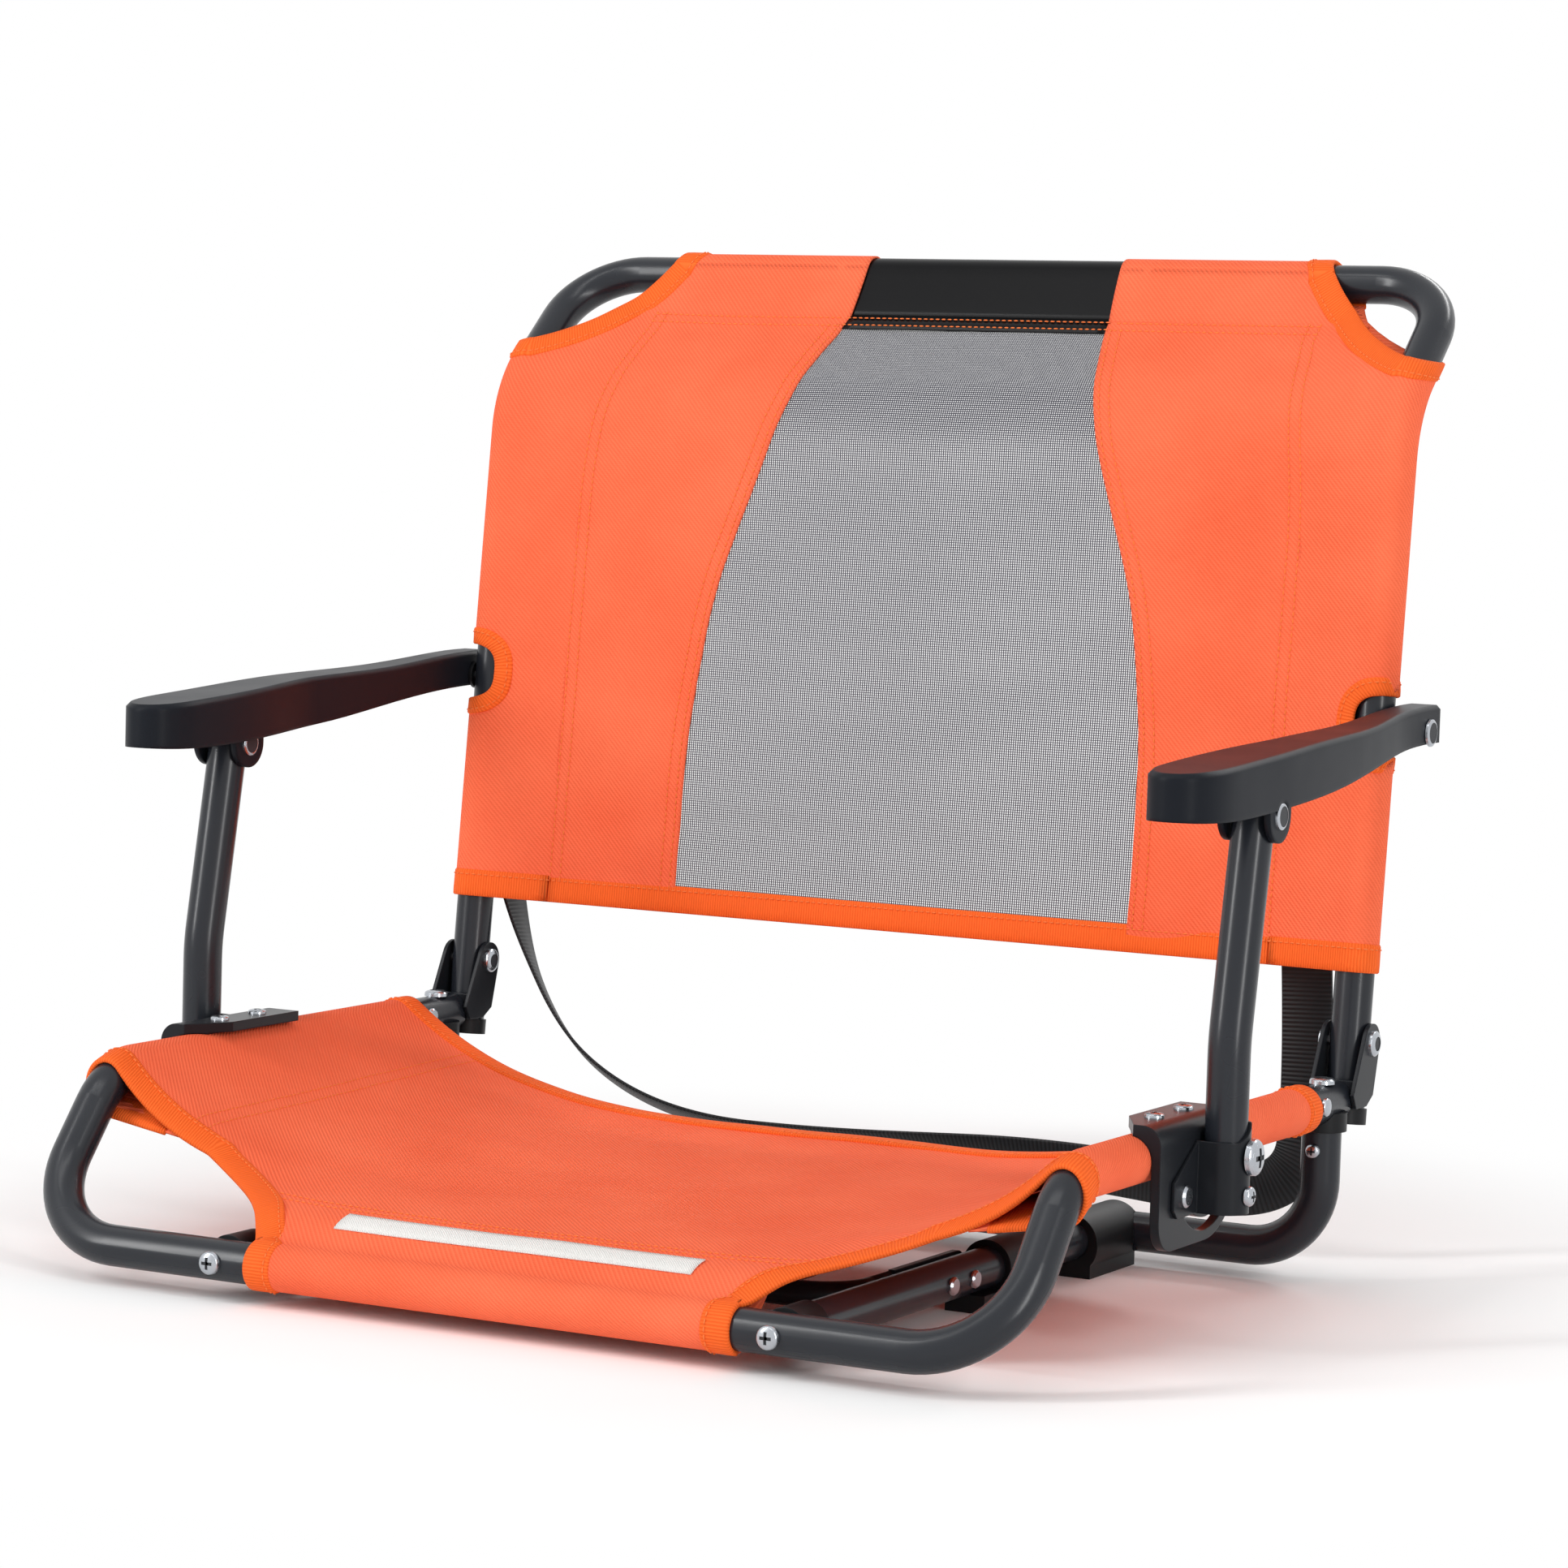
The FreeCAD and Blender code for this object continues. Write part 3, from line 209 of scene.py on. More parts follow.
def placed(x: float, y: float, z: float) -> Vector:
    """Turn a design point in millimetres into the row frame in metres."""
    return Vector((x / 1000, (y - FOOTPRINT_MIDDLE) / 1000, (z + BENCH_DROP) / 1000))


def linear(hex_code: str) -> tuple[float, ...]:
    """Turn an sRGB hex colour into linear red, green and blue with a full alpha."""
    shares = [int(hex_code[i:i + 2], 16) / 255 for i in (1, 3, 5)]
    return *(c / 12.92 if c <= 0.04045 else ((c + 0.055) / 1.055) ** 2.4 for c in shares), 1.0


def add_node(tree: Tree, kind: str, inputs: dict[Any, Any] | None = None, **settings: Any) -> Any:
    """Add a node, set its properties, and set or link its inputs.

    Args:
        tree: The node tree.
        kind: The node's type name.
        inputs: Input names or numbers, with values, sockets, or nodes whose first output is linked.
        settings: Properties of the node.

    Returns:
        The new node.
    """
    made = tree.nodes.new(kind)
    for name, value in settings.items():
        setattr(made, name, value)
    for key, value in (inputs or {}).items():
        source = value.outputs[0] if isinstance(value, bpy.types.Node) else value
        if isinstance(source, bpy.types.NodeSocket):
            tree.links.new(source, made.inputs[key])
        else:
            made.inputs[key].default_value = source
    return made


def linked(name: str, data: Any) -> Object:
    """Return a new object in the scene."""
    made = bpy.data.objects.new(name, data)
    bpy.context.scene.collection.objects.link(made)
    return made


def plain_mesh(guide: Object) -> bpy.types.Mesh:
    """Return the mesh that a guide's curve or modifiers make, and remove the guide."""
    bpy.context.view_layer.update()
    graph = bpy.context.evaluated_depsgraph_get()
    mesh = bpy.data.meshes.new_from_object(guide.evaluated_get(graph))
    bpy.data.objects.remove(guide)
    return mesh


def curve_through(name: str, kind: str, lines: Iterable[Sequence[Vector]]) -> bpy.types.Curve:
    """Return a curve with one spline of a kind for each line of points in metres."""
    curve = bpy.data.curves.new(name, "CURVE")
    curve.dimensions = "3D"
    for line in lines:
        spline = curve.splines.new(kind)
        spline.points.add(len(line) - 1)
        for slot, point in zip(spline.points, line):
            slot.co = (*point, 1.0)
    return curve


def band_scale(period_mm: float) -> float:
    """Return the scale of a wave texture whose bands repeat after a length in millimetres."""
    return 2 * math.pi / 20 / (period_mm / 1000)


def spot_scale(size_mm: float) -> float:
    """Return the scale of a noise texture whose spots have a size in millimetres."""
    return 1000 / size_mm


@dataclass(frozen=True)
class Finish:
    """A surface finish with its own procedural material."""

    name: str
    colour: str
    roughness: float
    specular: float = 0.5

    def material(self) -> bpy.types.Material:
        """Return the material, made once."""
        found = bpy.data.materials.get(self.name)
        if found:
            return found
        made = bpy.data.materials.new(self.name)
        made.use_nodes = True
        shader = made.node_tree.nodes["Principled BSDF"]
        shader.inputs["Base Color"].default_value = linear(self.colour)
        shader.inputs["Roughness"].default_value = self.roughness
        shader.inputs["Specular IOR Level"].default_value = self.specular
        self.dress(made.node_tree, shader)
        return made

    def dress(self, tree: Tree, shader: Any) -> None:
        """Add the finish's own pattern to the shader."""

    def bump(self, tree: Tree, shader: Any, height: Any, depth_mm: float, round_mm: float = 0.0) -> None:
        """Link a height to the shader's normal, with a depth and an edge rounding in millimetres."""
        bump = add_node(tree, "ShaderNodeBump", {"Height": height, "Distance": depth_mm / 1000})
        if round_mm:
            worn = add_node(tree, "ShaderNodeBevel", {"Radius": round_mm / 1000}, samples=6)
            tree.links.new(worn.outputs[0], bump.inputs["Normal"])
        tree.links.new(bump.outputs[0], shader.inputs["Normal"])

    def spread(self, tree: Tree, shader: Any, driver: Any, socket: str, low: Any, high: Any) -> None:
        """Let a texture move one of the shader's inputs between two values."""
        coloured = isinstance(low, tuple)
        first, second, out = (6, 7, 2) if coloured else (2, 3, 0)
        kind = "RGBA" if coloured else "FLOAT"
        mix = add_node(tree, "ShaderNodeMix", {0: driver}, data_type=kind)
        mix.inputs[first].default_value = low
        mix.inputs[second].default_value = high
        tree.links.new(mix.outputs[out], shader.inputs[socket])


@dataclass(frozen=True)
class Grained(Finish):
    """A hard finish such as paint, plating or plastic: fine grain and a drift of gloss."""

    grain_mm: float = 1.6
    depth_mm: float = 0.008
    drift_mm: float = 45.0
    detail: float = 2.0
    gloss: Flat = (-0.05, 0.07)
    metallic: float = 0.0
    round_mm: float = 0.0

    def dress(self, tree: Tree, shader: Any) -> None:
        """Add the grain as bump and the drift as roughness."""
        place = add_node(tree, "ShaderNodeTexCoord").outputs["Object"]
        look = {"Vector": place, "Detail": self.detail}
        scales = [spot_scale(size) for size in (self.grain_mm, self.drift_mm)]
        grain, drift = [add_node(tree, "ShaderNodeTexNoise", {**look, "Scale": scale}) for scale in scales]
        shader.inputs["Metallic"].default_value = self.metallic
        self.bump(tree, shader, grain, self.depth_mm, self.round_mm)
        low, high = [self.roughness + step for step in self.gloss]
        self.spread(tree, shader, drift, "Roughness", low, high)


@dataclass(frozen=True)
class WovenCloth(Finish):
    """Coated twill-weave polyester. Ribs of under a millimetre are drawn at 1.8 mm, so that they show."""

    shade: str = ""
    rib_mm: float = 1.8

    def dress(self, tree: Tree, shader: Any) -> None:
        """Add slanting ribs crossed by threads as colour and bump, and a slow drift of colour."""
        place = add_node(tree, "ShaderNodeUVMap", uv_map="cloth")
        ribs, weft = [
            add_node(
                tree, "ShaderNodeTexWave", {"Vector": place, "Scale": band_scale(size)}, bands_direction=way
            ).outputs["Fac"]
            for size, way in ((self.rib_mm / math.sqrt(2), "DIAGONAL"), (self.rib_mm * 0.6, "Y"))
        ]
        weave = add_node(tree, "ShaderNodeMath", {0: weft, 1: 0.35, 2: ribs}, operation="MULTIPLY_ADD")
        look = {"Vector": place, "Scale": spot_scale(70), "Detail": 3.0}
        drift = add_node(tree, "ShaderNodeTexNoise", look)
        depth = add_node(tree, "ShaderNodeMath", {0: weave, 1: 0.45, 2: drift}, operation="MULTIPLY_ADD")
        lit = add_node(tree, "ShaderNodeMath", {0: depth, 1: 0.25}, operation="SUBTRACT", use_clamp=True)
        self.bump(tree, shader, weave, 0.24)
        self.spread(tree, shader, lit, "Base Color", linear(self.shade), linear(self.colour))


@dataclass(frozen=True)
class RibbedTape(Finish):
    """Grosgrain binding or webbing: ribs across its length."""

    shade: str = ""
    rib_mm: float = 1.4

    def dress(self, tree: Tree, shader: Any) -> None:
        """Add the ribs as colour and bump."""
        place = add_node(tree, "ShaderNodeUVMap", uv_map="cloth")
        look = {"Vector": place, "Scale": band_scale(self.rib_mm), "Distortion": 0.4}
        ribs = add_node(tree, "ShaderNodeTexWave", look, bands_direction="X").outputs["Fac"]
        self.bump(tree, shader, ribs, 0.2)
        self.spread(tree, shader, ribs, "Base Color", linear(self.shade), linear(self.colour))


@dataclass(frozen=True)
class OpenMesh(Finish):
    """Thin woven mesh. Its holes of half a millimetre are drawn at 1.2 mm, so that they show."""

    pitch_mm: float = 1.2
    open_below: float = 0.84

    def dress(self, tree: Tree, shader: Any) -> None:
        """Cut the holes with alpha, between round threads."""
        place = add_node(tree, "ShaderNodeUVMap", uv_map="cloth")
        look = {"Vector": place, "Scale": band_scale(self.pitch_mm)}
        warp, weft = [
            add_node(tree, "ShaderNodeTexWave", look, bands_direction=way).outputs["Fac"] for way in "XY"
        ]
        thread = add_node(tree, "ShaderNodeMath", {0: warp, 1: weft}, operation="MAXIMUM")
        solid = add_node(tree, "ShaderNodeMath", {0: thread, 1: self.open_below}, operation="GREATER_THAN")
        self.bump(tree, shader, thread, 0.2)
        tree.links.new(solid.outputs[0], shader.inputs["Alpha"])


# Charcoal powder coat: soft bright streaks along the tube, near black between them.
TUBE = Grained("charcoal_powder_coat", "#1E2127", 0.25, 0.36)
# Pressed and cast fittings under a gloss coat: tighter streaks, cooler charcoal.
PRESSED = Grained("gloss_painted_steel", "#1D1F23", 0.3, 0.16, grain_mm=2.2, round_mm=0.8)
# Bright zinc: it mirrors the lamps and the floor in a bluish white, with fine rolling marks.
ZINC = Grained(
    "zinc_plated_steel", "#B4B8BE", 0.22, grain_mm=0.9, depth_mm=0.02, drift_mm=0.9, detail=4.0,
    gloss=(-0.08, 0.12), metallic=1.0,
)
# Painted shade: a dark zinc laid on the faces of each cut recess. It stands for the shade that falls in the recess.
RECESS_PAINTED_SHADE = Grained("shaded_zinc", "#2A2C30", 0.5, 0.3, grain_mm=0.8)
# A spark-eroded mould leaves a fine even grain.
MOULDED: dict[str, Any] = {"grain_mm": 0.8, "depth_mm": 0.012, "drift_mm": 30.0, "gloss": (-0.05, 0.06)}
# Black polypropylene: feet, saddles and caps with a dull grain.
FITTING = Grained("black_polypropylene", "#121315", 0.42, 0.2, round_mm=0.6, **MOULDED)
# Charcoal polypropylene: armrests with a matt grain and a soft blue cast.
ARM = Grained("charcoal_polypropylene", "#171A20", 0.38, 0.1, round_mm=2.6, **MOULDED)
# Coated polyester in a bright red-orange, with a fine slanting rib.
CLOTH = WovenCloth("coated_twill_polyester", "#FF7A54", 0.75, 0.12, shade="#EA5C38")
# Grosgrain tape, yellower than the cloth, with ribs across it.
TAPE = RibbedTape("grosgrain_binding", "#FC6E2C", 0.7, 0.15, shade="#E95C1C")
# Black webbing with close ribs that catch the light.
WEBBING = RibbedTape("polypropylene_webbing", "#1D1E21", 0.5, 0.3, shade="#060607", rib_mm=2.2)
# Thin dark mesh that lets about half of what is behind it through.
MESH = OpenMesh("woven_polyester_mesh", "#4A4A54", 0.6, 0.2)
# The same mesh lying double round the tube, with no light through it.
DOUBLED = Grained("doubled_polyester_mesh", "#060608", 0.3, 0.12, grain_mm=1.2)
# White satin patch.
PATCH = WovenCloth("satin_patch", "#F6F5F2", 0.6, 0.3, shade="#E6E4E0", rib_mm=0.9)
# Orange sewing thread, paler than the cloth.
THREAD = Grained("polyester_thread", "#F07C40", 0.7, 0.2, grain_mm=0.8)

CAD_FINISHES: dict[str, Finish] = {
    "powder_coated_steel": TUBE,
    "black_steel": PRESSED,
    "zinc_steel": ZINC,
    "black_plastic": FITTING,
    "grey_plastic": ARM,
    "orange_fabric": CLOTH,
    "black_mesh": MESH,
    "black_webbing": WEBBING,
    "white_patch": PATCH,
}


class ClothMesh:
    """Collects patches of cloth and makes one object of them."""

    def __init__(self) -> None:
        """Start with no patch."""
        self.points: list[Vector] = []
        self.faces: list[tuple[int, int, int, int]] = []
        self.marks: list[Flat] = []

    def add(self, row: Row) -> int:
        """Add a row's points and marks, and return the first one's number."""
        start = len(self.points)
        self.points.extend(point for point, _ in row)
        self.marks.extend(mark for _, mark in row)
        return start

    def patch(
        self, rows: Sequence[Row], closed: bool = False, hole: Callable[[Vector], bool] | None = None
    ) -> None:
        """Add a grid of quads.

        Args:
            rows: Rows of points in metres, each with its flat place on the cloth in millimetres.
            closed: Whether each row's last point joins its first.
            hole: A test for the middles of quads that are left out.
        """
        starts = [self.add(row) for row in rows]
        wide = len(rows[0])
        for r, (low, high) in enumerate(zip(starts, starts[1:])):
            for c in range(wide if closed else wide - 1):
                after = (c + 1) % wide
                if hole and hole((rows[r][c][0] + rows[r + 1][after][0]) / 2):
                    continue
                self.faces.append((low + c, low + after, high + after, high + c))

    def band(self, rows: Sequence[Row]) -> None:
        """Add a thick band with flat ends, from rows that go round it."""
        self.patch(rows, closed=True)
        for row in (rows[0], rows[-1]):
            near = self.add(row)
            far = near + len(row) - 1
            for j in range(len(row) // 2 - 1):
                self.faces.append((near + j, near + j + 1, far - j - 1, far - j))

    def build(self, name: str, finish: Finish, thickness_mm: float = 0.0) -> Object:
        """Make the object.

        Args:
            name: The object's name.
            finish: Its finish.
            thickness_mm: Cloth thickness for a Solidify modifier, or 0 for none.

        Returns:
            The new object, linked to the scene.
        """
        mesh = bpy.data.meshes.new(name)
        mesh.from_pydata([tuple(p) for p in self.points], [], self.faces)
        layer = mesh.uv_layers.new(name="cloth")
        for loop in mesh.loops:
            u, v = self.marks[loop.vertex_index]
            layer.data[loop.index].uv = (u / 1000, v / 1000)
        work = bmesh.new()
        work.from_mesh(mesh)
        bmesh.ops.remove_doubles(work, verts=work.verts, dist=0.00015)
        bmesh.ops.recalc_face_normals(work, faces=work.faces)
        work.to_mesh(mesh)
        work.free()
        mesh.shade_smooth()
        mesh.materials.append(finish.material())
        made = linked(name, mesh)
        if thickness_mm:
            solidify = made.modifiers.new("thickness", "SOLIDIFY")
            solidify.thickness = thickness_mm / 1000
            solidify.offset = 0.0
        return made


def circle_through(a: Flat, b: Flat, c: Flat) -> tuple[float, float, float]:
    """Return the centre and radius of the circle through three flat points."""
    d = 2 * (a[0] * (b[1] - c[1]) + b[0] * (c[1] - a[1]) + c[0] * (a[1] - b[1]))
    squares = [p[0] ** 2 + p[1] ** 2 for p in (a, b, c)]
    x = (squares[0] * (b[1] - c[1]) + squares[1] * (c[1] - a[1]) + squares[2] * (a[1] - b[1])) / d
    y = (squares[0] * (c[0] - b[0]) + squares[1] * (a[0] - c[0]) + squares[2] * (b[0] - a[0])) / d
    return x, y, math.dist((x, y), a)


def smooth_through(knots: Sequence[Flat], at: float) -> float:
    """Return the value at a place on a smooth curve through knots of (place, value)."""
    if at <= knots[0][0]:
        return knots[0][1]
    for i in range(len(knots) - 1):
        (x0, y0), (x1, y1) = knots[i], knots[i + 1]
        if at <= x1:
            before = knots[max(i - 1, 0)]
            after = knots[min(i + 2, len(knots) - 1)]
            slope0 = (y1 - before[1]) / (x1 - before[0])
            slope1 = (after[1] - y0) / (after[0] - x0)
            t = (at - x0) / (x1 - x0)
            span = x1 - x0
            a = (2 * t ** 3 - 3 * t ** 2 + 1) * y0 + (t ** 3 - 2 * t ** 2 + t) * span * slope0
            return a + (-2 * t ** 3 + 3 * t ** 2) * y1 + (t ** 3 - t ** 2) * span * slope1
    return knots[-1][1]


def spaced(low: float, high: float, steps: int) -> list[float]:
    """Return evenly spaced values with both ends."""
    return [low + (high - low) * i / steps for i in range(steps + 1)]


def straight(start: Flat, end: Flat, steps: int) -> list[Flat]:
    """Return evenly spaced points on a line, without the first."""
    shares = spaced(0, 1, steps)[1:]
    return [(start[0] + (end[0] - start[0]) * t, start[1] + (end[1] - start[1]) * t) for t in shares]


def clamp(value: float) -> float:
    """Return the value held between 0 and 1."""
    return max(0.0, min(1.0, value))


def eased(value: float) -> float:
    """Return a smooth step from 0 to 1."""
    held = clamp(value)
    return held * held * (3 - 2 * held)


def waves(x: float, along: float, sets: Iterable[tuple[float, float, float, float]]) -> float:
    """Return the small waves of stretched cloth at a place.

    Args:
        x: Place across the cloth.
        along: Place along the cloth.
        sets: Height, length across, length along and seed of each set of waves.

    Returns:
        The height of all waves together.
    """
    return sum(high * noise.noise(Vector((x / wide, along / far, seed))) for high, wide, far, seed in sets)


def teardrop(seam: float, steps: int = 18) -> list[Flat]:
    """Return the loop of cloth from a seam round a tube and back.

    Args:
        seam: Distance from the tube's axis to the seam.
        steps: Number of steps round the tube.

    Returns:
        Points (along, off): along points from the seam through the axis, off is negative in front.
    """
    reach = math.acos(WRAP_R / seam)
    angles = spaced(math.pi + reach, 3 * math.pi - reach, steps)
    loop = [(WRAP_R * math.cos(a), WRAP_R * math.sin(a)) for a in angles]
    tip = (-seam, 0.0)
    return [tip] + straight(tip, loop[0], 6)[:-1] + loop + straight(loop[-1], tip, 6)


@dataclass
class TapeRun:
    """The edge a folded tape follows: points with their directions into the cloth and off its face."""

    width: float = 13.0
    steps: list[tuple[Vector, Vector, Vector]] = field(default_factory=list)

    def add(self, point: Vector, inward: Vector, outward: Vector) -> None:
        """Add a point with its direction into the cloth and off its face."""
        self.steps.append((point, inward.normalized(), outward.normalized()))

    def sewn(self, lift_mm: float) -> list[Vector]:
        """Return the line of stitches along the tape's inner edge, above one of its faces."""
        inset = (self.width - 2.5) / 1000
        return [point + inward * inset + outward * lift_mm / 1000 for point, inward, outward in self.steps]

    def rows(self) -> list[Row]:
        """Return the sections of the tape, folded over the edge."""
        wide = self.width
        section = [(-0.9, -0.5), (-0.9, 0.5), (-0.2, 1.0), (3.0, 1.05), (wide - 1, 0.95), (wide, 0.55)]
        section += [(a, -b) for a, b in reversed(section[2:])]
        rows, length = [], 0.0
        for i, (point, inward, outward) in enumerate(self.steps):
            length += (point - self.steps[max(i - 1, 0)][0]).length * 1000
            into, off = inward / 1000, outward * TAPE_HALF / 1000
            rows.append([(point + into * a + off * b, (length, 3.0 * j)) for j, (a, b) in enumerate(section)])
        return rows


def folded_tape(name: str, runs: Iterable[TapeRun]) -> Object:
    """Make one object of the tape along several edges."""
    cloth = ClothMesh()
    for run in runs:
        cloth.band(run.rows())
    return cloth.build(name, TAPE)


class PlacingTree:
    """Geometry Nodes with named inputs, whose result on a guide becomes a plain mesh."""

    def __init__(self, name: str, *inputs: str) -> None:
        """Start the tree with its sockets."""
        self.tree = bpy.data.node_groups.new(name, "GeometryNodeTree")
        face = self.tree.interface
        face.new_socket("Geometry", in_out="INPUT", socket_type="NodeSocketGeometry")
        sockets = [face.new_socket(key, in_out="INPUT", socket_type="NodeSocketFloat") for key in inputs]
        self.keys = [socket.identifier for socket in sockets]
        face.new_socket("Geometry", in_out="OUTPUT", socket_type="NodeSocketGeometry")
        self.given = add_node(self.tree, "NodeGroupInput").outputs

    def lay(self, name: str, data: Any, *values: float) -> Object:
        """Make a plain mesh of what the tree sets on a guide.

        Args:
            name: The object's name.
            data: The guide's mesh or curve.
            values: The values of the named inputs, in their order.

        Returns:
            The new object.
        """
        guide = linked(name + "_guide", data)
        layer = guide.modifiers.new("placing", "NODES")
        layer.node_group = self.tree
        for key, value in zip(self.keys, values):
            layer[key] = value
        return linked(name, plain_mesh(guide))


class StitchTree(PlacingTree):
    """Geometry Nodes that lay thread stitches along curves."""

    def __init__(self) -> None:
        """Build the tree: a bead of thread on each point of the line."""
        super().__init__("lockstitch", "Stitch pitch", "Thread radius")
        tree, given = self.tree, self.given
        spacing = {"Curve": given[0], "Length": given["Stitch pitch"]}
        points = add_node(tree, "GeometryNodeCurveToPoints", spacing, mode="LENGTH")
        size = {"Radius": given["Thread radius"], "Subdivisions": 1}
        bead = add_node(tree, "GeometryNodeMeshIcoSphere", size)
        turn = {"Rotation": points.outputs["Rotation"], "Scale": (1.0, 1.0, 3.4)}
        laid = add_node(tree, "GeometryNodeInstanceOnPoints", {"Points": points, "Instance": bead, **turn})
        real = add_node(tree, "GeometryNodeRealizeInstances", {0: laid})
        dressed = {"Geometry": real, "Material": THREAD.material()}
        add_node(tree, "NodeGroupOutput", {0: add_node(tree, "GeometryNodeSetMaterial", dressed)})

    def sew(self, name: str, lines: Iterable[Sequence[Vector]]) -> Object:
        """Make one mesh of stitches along lines of points in metres."""
        curve = curve_through(name + "_line", "POLY", lines)
        made = self.lay(name, curve, STITCH_PITCH / 1000, THREAD_R / 1000)
        made.data.shade_smooth()
        return made


@dataclass
class SeatSling:
    """The seat's cloth: web, side sleeves, front sleeve, tape, stitches and the bare patch."""

    rail_z: float = 70.0
    bend_y: float = 74.8
    bend_r: float = 38.0
    leave: float = math.radians(37)
    side_y: Flat = (53.0, 313.0)
    rise_run: float = 72.0
    front_x: float = 123.5
    rear_z: float = 33.0
    crown: float = 10.0
    crown_run: float = 14.0
    seam_in: float = 44.0
    front_seam_y: float = 33.0
    flap_gap: float = 1.4
    tape_step: float = 12.0
    shoulder: float = 0.8
    shoulder_y: Flat = (40.0, 54.0)
    calm_run: float = 60.0
    patch_half: float = 92.0
    patch_y: Flat = (13.0, 26.0)
    slack: tuple = ((1.3, 95, 60, 0.3), (0.6, 38, 30, 4.0))
    corner: tuple = ((123.5, -1.0), (160.0, 38.0), (268.5, 56.0))

    def rail(self, y: float) -> Flat:
        """Return the height of the rail's axis, and how much its slope stretches an upright section."""
        over = max(0.0, self.bend_y - y)
        level = math.sqrt(self.bend_r ** 2 - over ** 2)
        return self.rail_z - self.bend_r + level, self.bend_r / level

    def edge(self, y: float) -> Flat:
        """Return x and z where the web leaves a side sleeve."""
        axis_z, stretch = self.rail(max(y, self.side_y[0]))
        x = RAIL_X - WRAP_R * math.sin(self.leave)
        return x, axis_z + WRAP_R * stretch * math.cos(self.leave)

    def height(self, x: float, y: float) -> float:
        """Return the web's height at a place, with a little slack in it."""
        edge_x, edge_z = self.edge(y)
        crown = self.crown * (1 - math.exp(-((max(0.0, y) / self.crown_run) ** 2)))
        middle = WRAP_R + crown + (self.rear_z - self.crown - WRAP_R) * y / self.side_y[1]
        share = min(1.0, abs(x) / edge_x)
        rise = eased(y / self.rise_run)
        low, high = self.shoulder_y
        beside = clamp((share - self.shoulder) / (1 - self.shoulder))
        rise += (1 - rise) * beside ** 2 * eased((y - low) / (high - low))
        calm = clamp(y / self.calm_run) * (1 - share ** 6)
        return middle + rise * (edge_z - middle) * share ** 4 + calm * waves(x, y, self.slack)

    def on_web(self, x: float, y: float, lift: float = 0.0) -> Vector:
        """Return a point on the web or a little above it."""
        return placed(x, y, self.height(x, y) + lift)

    def front_y(self, x: float) -> float:
        """Return where the web's front edge is at x: the front bar or the curved corner beside it."""
        cx, cy, r = circle_through(*self.corner)
        if abs(x) <= self.front_x:
            return 0.0
        return min(self.side_y[0], cy + math.sqrt(r * r - (min(abs(x), cx) - cx) ** 2))

    def side_rows(self) -> list[float]:
        """Return the rows along Y of a side sleeve, closer where the rail bends."""
        return spaced(self.side_y[0], self.bend_y, 8) + spaced(self.bend_y, self.side_y[1], 44)[1:]

    def build(self) -> Object:
        """Make the cloth."""
        cloth = ClothMesh()
        outer = spaced(self.front_x, self.edge(self.side_y[0])[0], 30)[1:]
        across = [-x for x in reversed(outer)] + spaced(-self.front_x, self.front_x, 40) + outer
        first, last = self.side_y
        rows = []
        for row in self.side_rows():
            share = (last - row) / (last - first)
            places = [(x, last - share * (last - self.front_y(x))) for x in across]
            rows.append([(self.on_web(*place), place) for place in places])
        for sheet in (rows, *(self.side_sleeve(side.value) for side in Side), self.front_sleeve()):
            cloth.patch(sheet)
        return cloth.build("seat_cloth", CLOTH, CLOTH_THICK)

    def section(self, y: float) -> list[Flat]:
        """Return points (x, z) of a side sleeve: round the rail and back to the seam under the web."""
        seam_x = RAIL_X - self.seam_in
        seam_z = self.height(seam_x, y) - self.flap_gap
        axis_z, stretch = self.rail(y)
        toward = math.atan2(seam_z - axis_z, seam_x - RAIL_X) % (2 * math.pi)
        last = toward + math.acos(WRAP_R / math.dist((seam_x, seam_z), (RAIL_X, axis_z)))
        points = [
            (RAIL_X + WRAP_R * math.cos(a), axis_z + WRAP_R * stretch * math.sin(a))
            for a in spaced(math.pi / 2 + self.leave, last - 2 * math.pi, 26)
        ]
        return points + straight(points[-1], (seam_x, seam_z), 5)

    def side_sleeve(self, sign: int) -> list[Row]:
        """Return a sleeve round a rail, with the flap that goes back to the seam under the web."""
        rows = []
        for y in self.side_rows():
            spots = enumerate(self.section(y))
            rows.append([(placed(sign * x, y, z), (sign * (242 + 2.3 * i), y)) for i, (x, z) in spots])
        return rows

    def front_sleeve(self) -> list[Row]:
        """Return the sleeve round the front bar, with the flap that goes back to the seam under the web."""
        seam = (self.front_seam_y, self.height(0, self.front_seam_y) - self.flap_gap)
        last = math.atan2(seam[1], seam[0]) - math.acos(WRAP_R / math.hypot(*seam))
        turns = spaced(math.pi / 2, 2 * math.pi + last, 26)
        section = [(WRAP_R * math.cos(a), WRAP_R * math.sin(a)) for a in turns]
        section += straight(section[-1], seam, 6)
        across = spaced(-self.front_x, self.front_x, 40)
        return [[(placed(x, y, z), (x, -2.2 * i)) for x in across] for i, (y, z) in enumerate(section)]

    def normal(self, x: float, y: float) -> Vector:
        """Return the web's upward normal."""
        step = 2.0
        dx = self.on_web(x + step, y) - self.on_web(x - step, y)
        dy = self.on_web(x, y + step) - self.on_web(x, y - step)
        return dx.cross(dy).normalized()

    def tape_runs(self) -> list[TapeRun]:
        """Return the taped edges: the rear hem with both sleeves' ends, and both front corners."""
        rear = TapeRun()
        rear_y = self.side_y[1]
        self.tape_ring(rear, -1, rear_y, -self.tape_step, True)
        edge_x = self.edge(rear_y)[0]
        for x in spaced(-edge_x, edge_x, 80)[1:-1]:
            rear.add(self.on_web(x, rear_y), Vector((0, -1, 0)), self.normal(x, rear_y - 3))
        self.tape_ring(rear, 1, rear_y, -self.tape_step, False)
        return [rear] + [self.corner_run(side.value) for side in Side]

